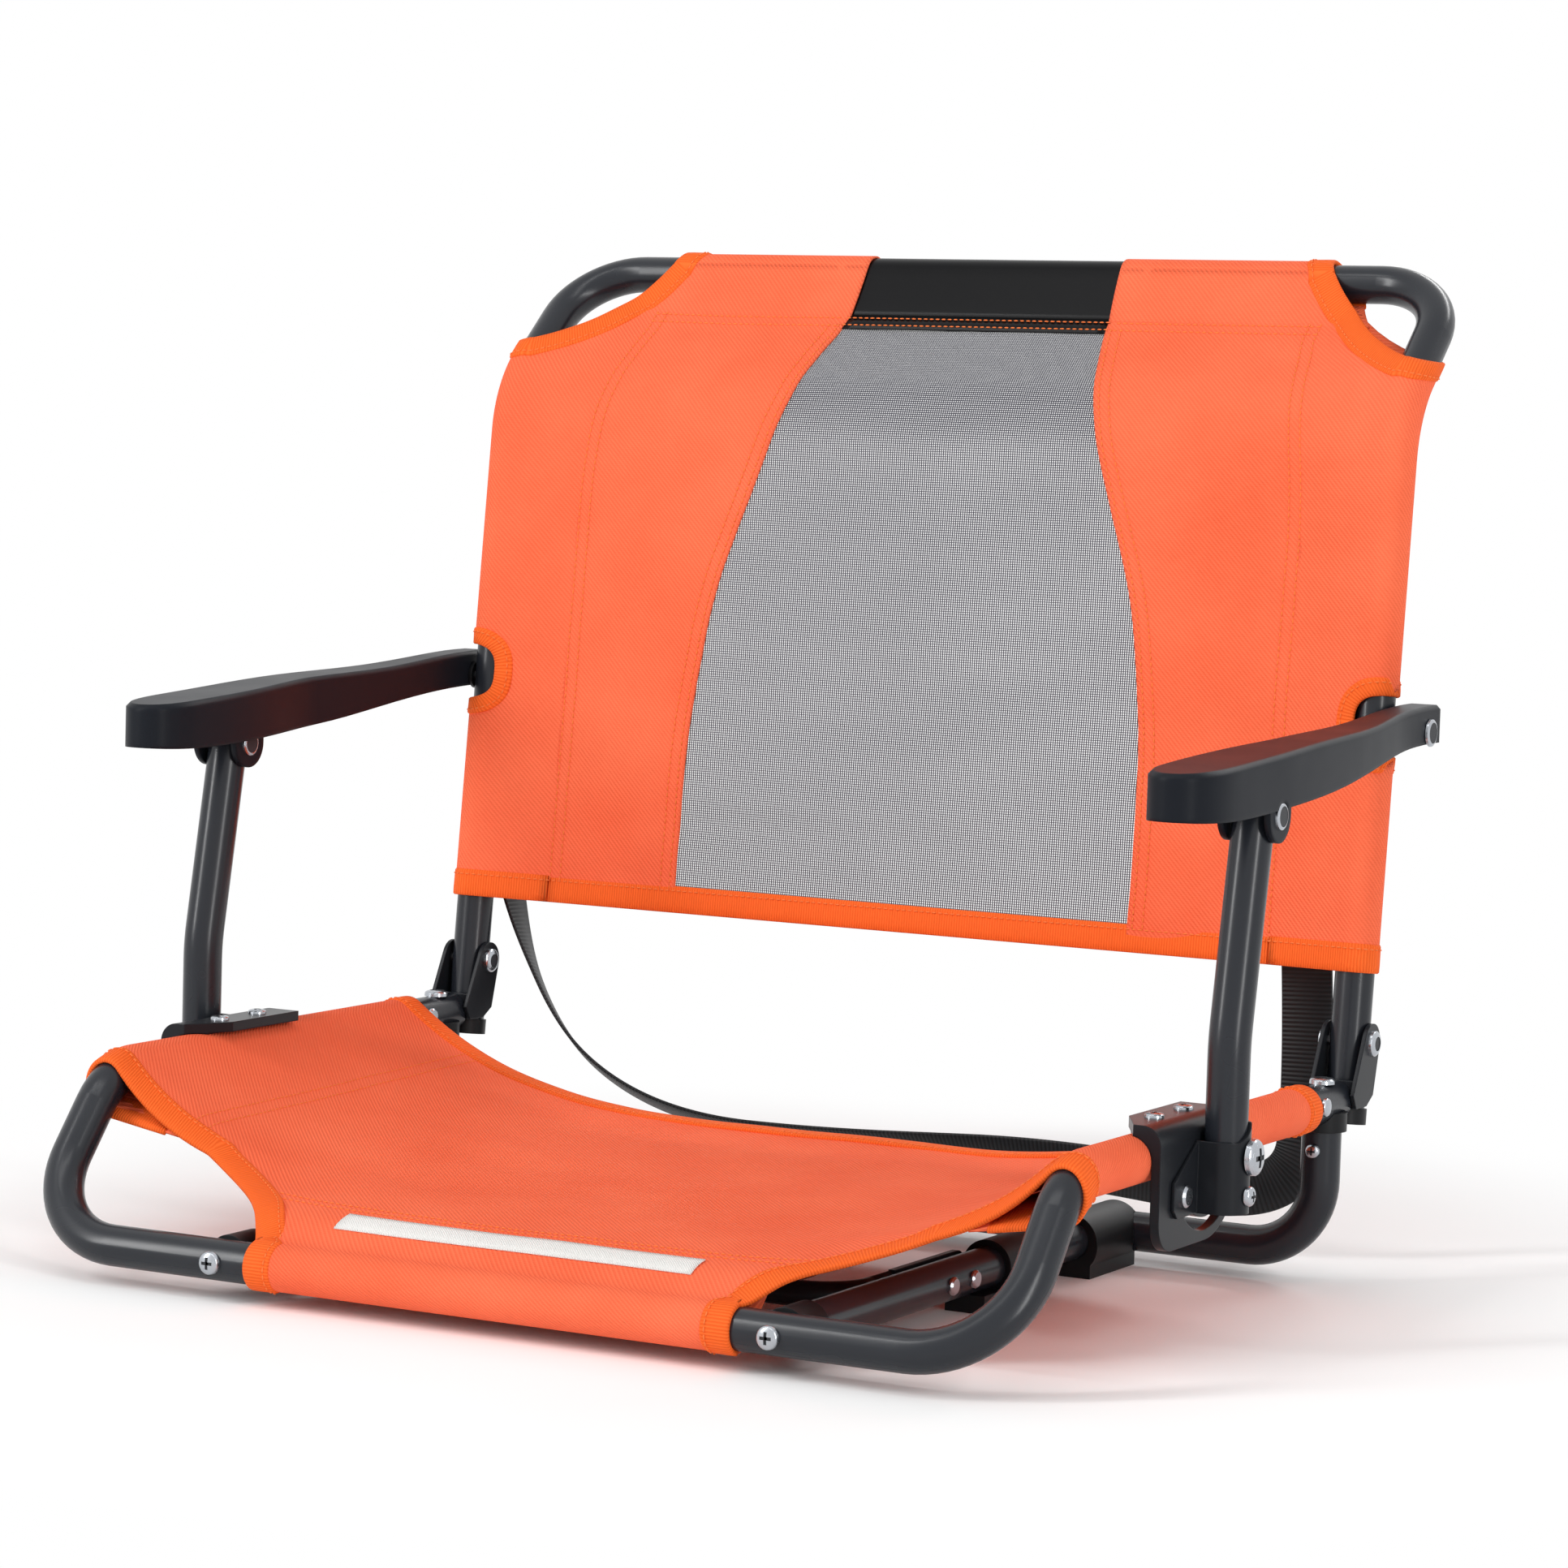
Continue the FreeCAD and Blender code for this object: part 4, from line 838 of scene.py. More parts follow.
    def tape_ring(self, run: TapeRun, sign: int, y: float, step: float, rising: bool) -> None:
        """Add the edge of a side sleeve's end, from the web to the seam below it or the other way."""
        outer, inner = self.section(y)[:-1], self.section(y + step)[:-1]
        order = range(len(outer))
        for i in reversed(order) if rising else order:
            (x, z), (inner_x, inner_z) = outer[i], inner[i]
            before, after = outer[max(i - 1, 0)], outer[min(i + 1, len(outer) - 1)]
            out = Vector((sign * (before[1] - after[1]), 0, after[0] - before[0]))
            run.add(placed(sign * x, y, z), Vector((sign * (inner_x - x), step, inner_z - z)), out)

    def corner_run(self, sign: int) -> TapeRun:
        """Return the tape of a front corner: round the front bar, along the curve and round the rail."""
        run = TapeRun()
        for a in spaced(math.pi * 1.45, math.pi / 2, 14):
            off = Vector((0, math.cos(a), math.sin(a)))
            run.add(placed(sign * self.front_x, *(off.yz * WRAP_R)), Vector((-sign, 0, 0)), off)
        edge_x = self.edge(self.side_y[0])[0]
        for share in spaced(0, 1, 60)[1:-1]:
            x = self.front_x + (edge_x - self.front_x) * share ** 1.6
            y = self.front_y(x)
            slope = self.front_y(x + 0.5) - self.front_y(x - 0.5)
            step = Vector((-slope, 1)).normalized() * 4
            inside = (sign * (x + step.x), y + step.y)
            point = self.on_web(sign * x, y)
            run.add(point, self.on_web(*inside) - point, self.normal(*inside))
        self.tape_ring(run, sign, self.side_y[0], self.tape_step, False)
        return run

    def seam_lines(self) -> list[list[Vector]]:
        """Return the stitched lines on the web's upper face."""
        lines = []
        ys = spaced(self.side_y[0] + 4, self.side_y[1] - 2, 60)
        for side in Side:
            for shift in (0.0, 6.5):
                x = side.value * (RAIL_X - self.seam_in - shift)
                lines.append([self.on_web(x, y, THREAD_LIFT) for y in ys])
        for y in (self.front_seam_y, self.front_seam_y + 6.0):
            half = self.front_x + 8 + y / 3
            lines.append([self.on_web(x, y, THREAD_LIFT) for x in spaced(-half, half, 60)])
        return lines

    def patch(self) -> Object:
        """Make the bare sewn patch behind the front sleeve."""
        cloth = ClothMesh()
        xs = spaced(-self.patch_half, self.patch_half, 40)
        cloth.patch([[(self.on_web(x, y, 1.2), (x, y)) for x in xs] for y in spaced(*self.patch_y, 4)])
        return cloth.build("seat_patch", PATCH, 0.5)


@dataclass
class BackSling:
    """The back's cloth: two side panels, the mesh between them, tapes and stitches.

    A place on it is x, the length s along the back tube from the hinge, and an offset to the rear.
    """

    tilt: float = math.radians(6)
    top_tilt: float = math.radians(48)
    run: float = 303.0
    top_run: float = 94.0
    bend_r: float = 60.0
    hem_z: float = 130.0
    seam_x: float = 204.0
    seam_shift: float = 14.0
    seam_z: Flat = (330.0, 430.0)
    calm_run: float = 40.0
    notch_power: float = 3.0
    notch_tape: float = 9.0
    top_seam: float = 33.0
    lap: float = 6.0
    notch: tuple[float, float, float, float] = (262.0, 247.0, 21.0, 15.0)
    waves_in: tuple = ((1.0, 70, 38, 1.7), (0.5, 160, 17, 8.0))
    corner: tuple = ((180.0, 480.0), (212.0, 440.0), (268.5, 420.0))
    mesh_knots: tuple = (
        (129, 134), (200, 134), (253, 130), (305, 121), (366, 101), (409, 88), (440, 79.5), (480, 78),
    )

    def station(self, s: float) -> tuple[Vector, Vector]:
        """Return the point (y, z) and the rearward unit normal at a length along the back tube."""
        half = (self.top_tilt - self.tilt) / 2
        level = self.run - self.bend_r * math.tan(half)
        low = Vector((math.sin(self.tilt), math.cos(self.tilt)))
        normal = Vector((low.y, -low.x))
        if s <= level:
            return Vector(HINGE) + low * s, normal
        centre = Vector(HINGE) + low * level + normal * self.bend_r
        turn = min((s - level) / self.bend_r + self.tilt, self.top_tilt)
        normal = Vector((math.cos(turn), -math.sin(turn)))
        rest = max(0.0, s - level - self.bend_r * 2 * half)
        return centre - normal * self.bend_r + Vector((-normal.y, normal.x)) * rest, normal

    @cached_property
    def length(self) -> float:
        """The length from the hinge to the top tube's axis."""
        half = (self.top_tilt - self.tilt) / 2
        return self.run + self.top_run - 2 * self.bend_r * math.tan(half) + 2 * self.bend_r * half

    @cached_property
    def hem(self) -> float:
        """The length along the back at the hem."""
        return self.end_at(self.hem_z)

    @cached_property
    def edge(self) -> float:
        """The x at which the flat front meets the loop round a side tube."""
        return RAIL_X - self.meets(RAIL_X - self.seam_x)[0]

    def level(self, s: float, off: float) -> float:
        """Return the height of a place."""
        place, normal = self.station(s)
        return place.y + normal.y * off

    def at(self, x: float, s: float, off: float = 0.0) -> Vector:
        """Return the point at a place."""
        place, normal = self.station(s)
        return placed(x, *(place + normal * off))

    def rearward(self, s: float) -> Vector:
        """Return the rearward normal at a length along the back."""
        return Vector((0, *self.station(s)[1]))

    def upward(self, s: float) -> Vector:
        """Return the direction along the back tube, away from the hinge."""
        normal = self.station(s)[1]
        return Vector((0, -normal.y, normal.x))

    def end_at(self, target_z: float, off: Callable[[float], float] = lambda s: 0.0) -> float:
        """Return the length at which a layer with an offset reaches a height."""
        low, high = 0.0, self.length + 12
        for _ in range(36):
            middle = (low + high) / 2
            if self.level(middle, off(middle)) < target_z:
                low = middle
            else:
                high = middle
        return low

    def mesh_x(self, s: float) -> float:
        """Return half the mesh's width at a length along the back."""
        return smooth_through(self.mesh_knots, self.station(min(s, self.length))[0].y)

    def seam_at(self, s: float) -> float:
        """Return the x of the sleeve's seam at a length along the back."""
        low, high = self.seam_z
        return self.seam_x - self.seam_shift * clamp((self.station(s)[0].y - low) / (high - low)) ** 2

    def corner_z(self, x: float) -> float:
        """Return the height of the curved top corner at x."""
        cx, cy, r = circle_through(*self.corner)
        return cy - math.sqrt(max(0.0, r * r - (min(x, self.corner[2][0]) - cx) ** 2))

    def corner_x(self, z: float) -> float:
        """Return the x of the curved top corner at a height."""
        cx, cy, r = circle_through(*self.corner)
        return cx - math.sqrt(r * r - (z - cy) ** 2)

    def slack(self, x: float, s: float) -> float:
        """Return the small rearward waves of the stretched cloth, which fade at the hem."""
        return clamp((s - self.hem) / self.calm_run) * waves(x, s, self.waves_in)

    def meets(self, seam: float) -> Flat:
        """Return how far before a tube's axis and how far off it cloth from a seam meets the tube."""
        return WRAP_R ** 2 / seam, WRAP_R * math.sqrt(1 - (WRAP_R / seam) ** 2)

    def front_off(self, x: float, s: float) -> float:
        """Return the offset of the front layer, which comes forward to the side tube and the top tube."""
        seam = RAIL_X - self.seam_at(s)
        side_gap, side_off = self.meets(seam)
        top_gap, top_off = self.meets(self.top_seam)
        side = clamp((abs(x) - self.seam_at(s)) / (seam - side_gap))
        top = clamp((s - self.length + self.top_seam) / (self.top_seam - top_gap))
        forward = ((side * side_off) ** 4 + (top * top_off) ** 4) ** 0.25
        return (1 - max(side, top)) * self.slack(x, s) - HALF_LAYER - forward

    def front(self, x: float, s: float, lift: float = 0.0) -> Vector:
        """Return a point on the front layer or a little before it."""
        return self.at(x, s, self.front_off(x, s) - lift)

    def top_end(self, x: float) -> float:
        """Return the length at which the front layer ends at x: at the top tube or the curved corner."""
        limit = self.length - self.meets(self.top_seam)[0]
        return min(limit, self.end_at(self.corner_z(x), lambda s: self.front_off(x, s)))

    def top_loop(self) -> list[Flat]:
        """Return the loop over the top tube as lengths along the back and offsets."""
        return [(self.length + along, off) for along, off in teardrop(self.top_seam)]

    def side_loop(self) -> list[tuple[float, float, float]]:
        """Return the loop behind a side sleeve's front as x, offset and the length where it ends."""
        loop = [(RAIL_X + along, off) for along, off in teardrop(RAIL_X - self.seam_x)[7:]]
        return [(x, off, self.end_at(self.corner_z(x), lambda s, off=off: off)) for x, off in loop]

    def panel(self, side: Side) -> Object:
        """Make one side panel with its two sleeves and the arm notch."""
        sign, low = side.value, self.hem
        cloth = ClothMesh()
        columns = []
        for u in spaced(0, 1, 56):
            x = self.edge
            for _ in range(6):
                inner = self.mesh_x(self.top_end(x)) - self.lap
                x = inner + (self.edge - inner) * u
            columns.append((u, self.top_end(x)))
        loop = self.side_loop()
        rows = []
        for t in spaced(0, 1, 96):
            row = []
            for u, end in columns:
                s = low + (end - low) * t
                inner = self.mesh_x(s) - self.lap
                x = sign * (inner + (self.edge - inner) * u)
                row.append((self.front(x, s), (x, s)))
            for i, (x, off, end) in enumerate(loop, 1):
                s = low + (end - low) * t
                row.append((self.at(sign * x, s, off - HALF_LAYER), (sign * (self.edge + 2.4 * i), s)))
            rows.append(row)
        cloth.patch(rows, hole=self.in_notch)
        rows = []
        for i, (s, off) in enumerate(self.top_loop()[6:]):
            xs = spaced(self.mesh_x(s) - self.lap, self.corner_x(self.level(s, off)), 30)
            high = self.length + 2.4 * i
            rows.append([(self.at(sign * x, s, off - HALF_LAYER), (sign * x, high)) for x in xs])
        cloth.patch(rows)
        return cloth.build(f"back_cloth_{side.name.lower()}", CLOTH, CLOTH_THICK)

    def in_notch(self, point: Vector) -> bool:
        """Tell whether a point is in the rounded notch for the armrest's bolt or under its tape's fold."""
        x, z, wide, tall = self.notch
        middle = placed(x, 0, z)
        across = abs(abs(point.x) - middle.x) * 1000 / (wide + 2)
        up = abs(point.z - middle.z) * 1000 / (tall + 2)
        return across ** self.notch_power + up ** self.notch_power < 1

    def mesh(self) -> Object:
        """Make the see-through mesh between the panels."""
        cloth = ClothMesh()
        rows = []
        for s in spaced(self.hem, self.length - self.top_seam, 80):
            half = self.mesh_x(s) + self.lap
            xs = spaced(-half, half, 60)
            rows.append([(self.at(x, s, self.slack(x, s) + HALF_LAYER), (x, s)) for x in xs])
        cloth.patch(rows)
        return cloth.build("back_mesh", MESH, 0.6)

    def mesh_loop(self) -> Object:
        """Make the doubled mesh that loops over the top tube, with its hem below the seam."""
        high = self.length - self.top_seam
        over = [(s, off * 0.96 + 0.3, 3.4 * i, self.lap) for i, (s, off) in enumerate(self.top_loop())]
        hem = [(s, -0.8, s, -self.lap) for s in (high + 1, high - 4, high - 9)]
        cloth = ClothMesh()
        for strip in (over, hem):
            rows = []
            for s, off, mark, lap in strip:
                half = self.mesh_x(s) + lap
                rows.append([(self.at(x, s, off), (x, mark)) for x in spaced(-half, half, 30)])
            cloth.patch(rows)
        return cloth.build("back_mesh_loop", DOUBLED, 0.6)

    def tape_runs(self) -> list[TapeRun]:
        """Return the taped edges of the back: bottom hem, top corners and arm notches."""
        low = self.hem
        up, rear = self.upward(low), self.rearward(low)
        middle = TapeRun()
        for x in spaced(-self.seam_x, self.seam_x, 60):
            middle.add(self.at(x, low), up, rear)
        runs = [middle]
        for side in Side:
            sleeve = TapeRun()
            for along, off in teardrop(RAIL_X - self.seam_x):
                out = Vector((side.value * along, 0, 0)) + rear * off
                point = self.at(side.value * (RAIL_X + along), low, off - HALF_LAYER)
                sleeve.add(point, up, out if along > -8 else rear * (1 if off > 0 else -1))
            runs += [sleeve, self.corner_run(side.value), *self.notch_runs(side.value)]
        return runs

    def corner_run(self, sign: int) -> TapeRun:
        """Return the tape round a top corner, from the top sleeve's end to the side sleeve's end."""
        run = TapeRun()
        cx, cy, _ = circle_through(*self.corner)
        top = self.length
        for s, off in reversed(self.top_loop()[6:-5]):
            point = self.at(sign * self.corner_x(self.level(s, off)), s, off - HALF_LAYER)
            run.add(point, Vector((-sign, 0, 0)), self.rearward(top) * off + self.upward(top) * (s - top))
        start = self.corner_x(self.level(top, -WRAP_R)) + 1
        for x in spaced(start, self.edge, 36):
            s = self.top_end(x)
            away = Vector((x - cx, self.corner_z(x) - cy)).normalized() * 3
            point = self.front(sign * x, s)
            inside = self.front(sign * (x + away.x), s + away.y)
            run.add(point, inside - point, -self.rearward(s))
        for x, off, s in self.side_loop()[:-5]:
            out = Vector((sign * (x - RAIL_X), 0, 0)) + self.rearward(s) * off
            run.add(self.at(sign * x, s, off - HALF_LAYER), -self.upward(s), out)
        return run

    def sleeve_off(self, x: float, face: int) -> float:
        """Return the offset of a side sleeve's front or rear face at x."""
        if x > self.edge:
            return face * math.sqrt(max(0.0, WRAP_R ** 2 - (x - RAIL_X) ** 2))
        off = self.meets(RAIL_X - self.seam_x)[1]
        return face * off * (x - self.seam_x) / (self.edge - self.seam_x)

    def notch_runs(self, sign: int) -> list[TapeRun]:
        """Return the tape round an arm notch: over its upper edge and under its lower one, front to rear."""
        x, z, wide, tall = self.notch
        widest = RAIL_X + WRAP_R
        bow = 2 / self.notch_power
        turns = [math.radians(a) for a in spaced(180, 90, 40)]
        front = [a for a in turns if x - wide * abs(math.cos(a)) ** bow < widest - 0.1]
        steps = [(-1, a) for a in front] + [(1, a) for a in reversed(front)]
        runs = []
        for way in (-1, 1):
            run = TapeRun(width=self.notch_tape)
            for face, a in steps:
                spots = []
                for grow in (1.15, 1.0):
                    along = min(widest, x - wide * grow * abs(math.cos(a)) ** bow)
                    s = self.end_at(z + way * tall * grow * math.sin(a) ** bow)
                    off = self.sleeve_off(along, face)
                    spots.append(self.at(sign * along, s, off - HALF_LAYER))
                inside, point = spots
                radial = max(0.0, along - RAIL_X + 2.4) * sign
                run.add(point, inside - point, Vector((radial, 0, 0)) + self.rearward(s) * off)
            runs.append(run)
        return runs

    def seam_lines(self) -> list[list[Vector]]:
        """Return the stitched lines on the front of the back."""
        lines = []
        high = self.length - self.top_seam
        rows = spaced(self.hem + 12, high, 90)
        kept = [s for s in rows if s < self.top_end(self.seam_at(s)) - 14]
        top = spaced(self.mesh_x(high), self.seam_at(high) - 2, 30)
        for side in Side:
            places = [[(self.seam_at(s) - shift, s) for s in kept] for shift in (1.0, 7.0)]
            places += [[(self.mesh_x(s) + shift, s) for s in rows[:-2]] for shift in (-3.0, 2.5)]
            places += [[(x, high - drop) for x in top] for drop in (1.0, 7.0)]
            lines += [[self.front(side.value * x, s, THREAD_LIFT) for x, s in line] for line in places]
        for drop in (1.0, 6.5):
            half = self.mesh_x(high - drop) - self.lap
            lines.append([self.at(x, high - drop, -1.5) for x in spaced(-half, half, 30)])
        return lines


class Drive(Enum):
    """What a fastener's head shows: a cross recess, the bore of a tubular rivet, or a smooth dome."""

    CROSS = "cross"
    BORE = "bore"
    DOME = "dome"


@dataclass(frozen=True)
class Head:
    """A fastener's head: the middle of its seat, the way it faces, its radius and its height."""

    place: Point
    axis: Point
    radius: float
    height: float

    def on(self, side: Side) -> Head:
        """Return the head of one side, from that of the right side."""
        (x, *place), (out, *axis) = self.place, self.axis
        return Head((side.value * x, *place), (side.value * out, *axis), self.radius, self.height)


class HeadTree(PlacingTree):
    """Geometry Nodes that set heads of one kind on points, turned by each point's axis."""

    def __init__(self, drive: Drive) -> None:
        """Build the tree: a dome of unit size, its recess with painted shade on the cut faces, and the heads on their
        points.
        """
        super().__init__(f"{drive.value}_heads", "Recess floor", "Recess width")
        tree = self.tree
        ball = add_node(tree, "GeometryNodeMeshUVSphere", {"Segments": 24, "Rings": 14, "Radius": 1.0})
        where = add_node(tree, "GeometryNodeInputPosition")
        spot = add_node(tree, "ShaderNodeSeparateXYZ", {0: where}).outputs
        above = add_node(tree, "ShaderNodeMath", {0: spot["Z"], 1: 0.0}, operation="MAXIMUM")
        crown = add_node(tree, "ShaderNodeMath", {0: above, 1: 0.45}, operation="POWER")
        flat = add_node(tree, "ShaderNodeCombineXYZ", {0: spot["X"], 1: spot["Y"], 2: crown})
        shape = add_node(tree, "GeometryNodeSetPosition", {"Geometry": ball, "Position": flat})
        for cutter in self.cutters(drive):
            shape = add_node(tree, "GeometryNodeMeshBoolean", {"Mesh 1": shape}, operation="DIFFERENCE")
            tree.links.new(cutter.outputs[0], shape.inputs["Mesh 2"])
        axis, size, sunk = [
            add_node(tree, "GeometryNodeInputNamedAttribute", {"Name": name}, data_type=kind)
            for name, kind in (("axis", "FLOAT_VECTOR"), ("size", "FLOAT_VECTOR"), ("sunk", "BOOLEAN"))
        ]
        turn = add_node(tree, "FunctionNodeAlignRotationToVector", {"Vector": axis}, axis="Z")
        places = {"Points": self.given[0], "Instance": shape, "Rotation": turn, "Scale": size}
        laid = add_node(tree, "GeometryNodeInstanceOnPoints", places)
        real = add_node(tree, "GeometryNodeRealizeInstances", {0: laid})
        bright = add_node(tree, "GeometryNodeSetMaterial", {"Geometry": real, "Material": ZINC.material()})
        # The recess faces take a dark zinc: painted shade, not a finish of the head.
        shaded = {"Geometry": bright, "Selection": sunk, "Material": RECESS_PAINTED_SHADE.material()}
        add_node(tree, "NodeGroupOutput", {0: add_node(tree, "GeometryNodeSetMaterial", shaded)})

    def cutters(self, drive: Drive) -> list[Any]:
        """Return the nodes that cut a cross or a round bore, with their faces marked to take the painted shade."""
        tree, width = self.tree, self.given["Recess width"]
        middle = add_node(tree, "ShaderNodeMath", {0: self.given["Recess floor"], 1: 0.5}, operation="ADD")
        place = add_node(tree, "ShaderNodeCombineXYZ", {2: middle})
        tools = []
        if drive is Drive.CROSS:
            slim = add_node(tree, "ShaderNodeMath", {0: width, 1: 0.26}, operation="MULTIPLY")
            for sizes in ({0: width, 1: slim, 2: 1.0}, {0: slim, 1: width, 2: 1.0}):
                size = add_node(tree, "ShaderNodeCombineXYZ", sizes)
                tools.append(add_node(tree, "GeometryNodeMeshCube", {"Size": size}))
        elif drive is Drive.BORE:
            half = add_node(tree, "ShaderNodeMath", {0: width, 1: 0.5}, operation="MULTIPLY")
            sizes = {"Vertices": 24, "Radius": half, "Depth": 1.0}
            tools.append(add_node(tree, "GeometryNodeMeshCylinder", sizes))
        marked = []
        for tool in tools:
            moved = add_node(tree, "GeometryNodeTransform", {"Geometry": tool, "Translation": place})
            # Mark the cutter's faces, which line the recess, for the painted shade.
            marks = {"Geometry": moved, "Name": "sunk", "Value": True}
            kind = {"data_type": "BOOLEAN", "domain": "FACE"}
            marked.append(add_node(tree, "GeometryNodeStoreNamedAttribute", marks, **kind))
        return marked

    def set_heads(self, name: str, heads: Sequence[Head], floor: float, width: float) -> Object:
        """Make one mesh of heads.

        Args:
            name: The object's name.
            heads: The heads.
            floor: The recess floor's height as a share of the head's.
            width: The recess's width as a share of the head's radius.

        Returns:
            The heads as a plain mesh.
        """
        mesh = bpy.data.meshes.new(name + "_places")
        mesh.from_pydata([tuple(placed(*head.place)) for head in heads], [], [])
        axes = mesh.attributes.new("axis", "FLOAT_VECTOR", "POINT")
        sizes = mesh.attributes.new("size", "FLOAT_VECTOR", "POINT")
        for i, head in enumerate(heads):
            axes.data[i].vector = head.axis
            sizes.data[i].vector = (head.radius / 1000, head.radius / 1000, head.height / 1000)
        made = self.lay(name, mesh, floor, width)
        made.data.set_sharp_from_angle(angle=math.radians(32))
        return made


@dataclass
class Fasteners:
    """The heads of the seat's screws and rivets, set over the plain heads of the solids.

    A recess is the height of its floor and its width, as shares of the head's height and radius.
    """

    arm_bolt: Flat = (388.68, 245.18)
    lug_bolt: Flat = (183.68, 218.18)
    pivot: Flat = (168.0, 69.0)
    cross: Flat = (0.84, 1.05)
    bore: Flat = (0.8, 1.1)
    ring: Flat = (0.76, 1.5)

    def build(self) -> list[tuple[Object, str]]:
        """Make the heads of every body.

        Returns:
            Each piece with the body it moves with.
        """
        out, back, up, ahead = (1, 0, 0), (-1, 0, 0), (0, 0, 1), (0, -1, 0)
        crossed = [
            Head((143, -9.4, 0), ahead, 5.3, 3.2),
            Head((RAIL_X, 144.7, 86), up, 4.5, 2.1),
            Head((RAIL_X, 176.4, 86), up, 4.5, 2.1),
            Head((RAIL_X, 332.0, 48), ahead, 3.5, 3.1),
            Head((285.4, *self.pivot), out, 8.3, 4.3),
        ]
        bored = [
            Head((RAIL_X, 340, 79.3), up, 6.2, 3.2),
            Head((260.3, *HINGE), out, 6.3, 2.9),
            Head((236.6, *HINGE), back, 6.3, 2.9),
        ]
        domed = [Head((258.0, 321, 71), out, 4.5, 2.4)]
        arm = [Head((277.3, *self.arm_bolt), out, 6.7, 2.0)]
        lug = [Head((286.6, *self.lug_bolt), out, 6.2, 2.0), Head((261.4, *self.lug_bolt), back, 6.2, 2.0)]
        screw = [Head((285.1, 165.5, 52), out, 4.5, 3.1)]
        groups = [
            ("frame_screw_heads", "seat_frame", Drive.CROSS, crossed, self.cross, Side),
            ("frame_rivet_rings", "seat_frame", Drive.BORE, bored, self.bore, Side),
            ("frame_rivet_heads", "seat_frame", Drive.DOME, domed, self.bore, Side),
            ("arm_bolt_rings", "back", Drive.BORE, arm, self.ring, Side),
        ]
        for side in Side:
            label = side.name.lower()
            groups += [
                (f"lug_bolt_ring_{label}", f"armrest_{label}", Drive.BORE, lug, self.ring, [side]),
                (f"socket_screw_head_{label}", f"post_{label}", Drive.CROSS, screw, self.cross, [side]),
            ]
        trees = {drive: HeadTree(drive) for drive in Drive}
        pieces = []
        for name, body, drive, heads, cut, sides in groups:
            placed_heads = [head.on(side) for side in sides for head in heads]
            pieces.append((trees[drive].set_heads(name, placed_heads, *cut), body))
        return pieces


@dataclass
class CarryStrap:
    """The flat webbing that hangs behind the seat, from one side of the back's hem to the other."""

    y: float = 400.0
    width: float = 25.0
    thick: float = 1.8
    twist: tuple = ((0.0, 0), (0.08, -26), (0.36, -28), (0.62, -78), (1.0, -78))
    route: tuple = (
        (-242, 140), (-226, 70), (-152, 18), (-20, 17), (95, 18), (212, 8), (218, 72), (213, 148),
    )

    def line(self) -> list[Vector]:
        """Return points on the route's smooth spline, in metres."""
        curve = curve_through("strap_line", "NURBS", [[placed(x, self.y, z) for x, z in self.route]])
        spline = curve.splines[0]
        spline.resolution_u = 24
        spline.order_u = 3
        spline.use_endpoint_u = True
        mesh = plain_mesh(linked("strap_line", curve))
        points = [vertex.co.copy() for vertex in mesh.vertices]
        bpy.data.meshes.remove(mesh)
        return points

    def build(self) -> tuple[Object, list[Vector], float]:
        """Make the webbing.

        Returns:
            The object, its centre line and its length in metres.
        """
        points = self.line()
        last = len(points) - 1
        rows, length = [], 0.0
        half_w, half_t = self.width / 2000, self.thick / 2000
        section = [(-1, -0.5), (-1, 0.5), (-0.94, 1), (0.94, 1)]
        section += [(-a, -b) for a, b in section]
        for i, point in enumerate(points):
            length += (point - points[max(i - 1, 0)]).length
            along = (points[min(i + 1, last)] - points[max(i - 1, 0)]).normalized()
            twist = math.radians(smooth_through(self.twist, i / last))
            wide = Matrix.Rotation(twist, 3, along) @ Vector((0, 1, 0))
            off = along.cross(wide).normalized()
            spots = [point + wide * a * half_w + off * b * half_t for a, b in section]
            rows.append([(spot, (length * 1000, 6 * j)) for j, spot in enumerate(spots)])
        cloth = ClothMesh()
        cloth.band(rows)
        return cloth.build("carry_webbing", WEBBING), points, length


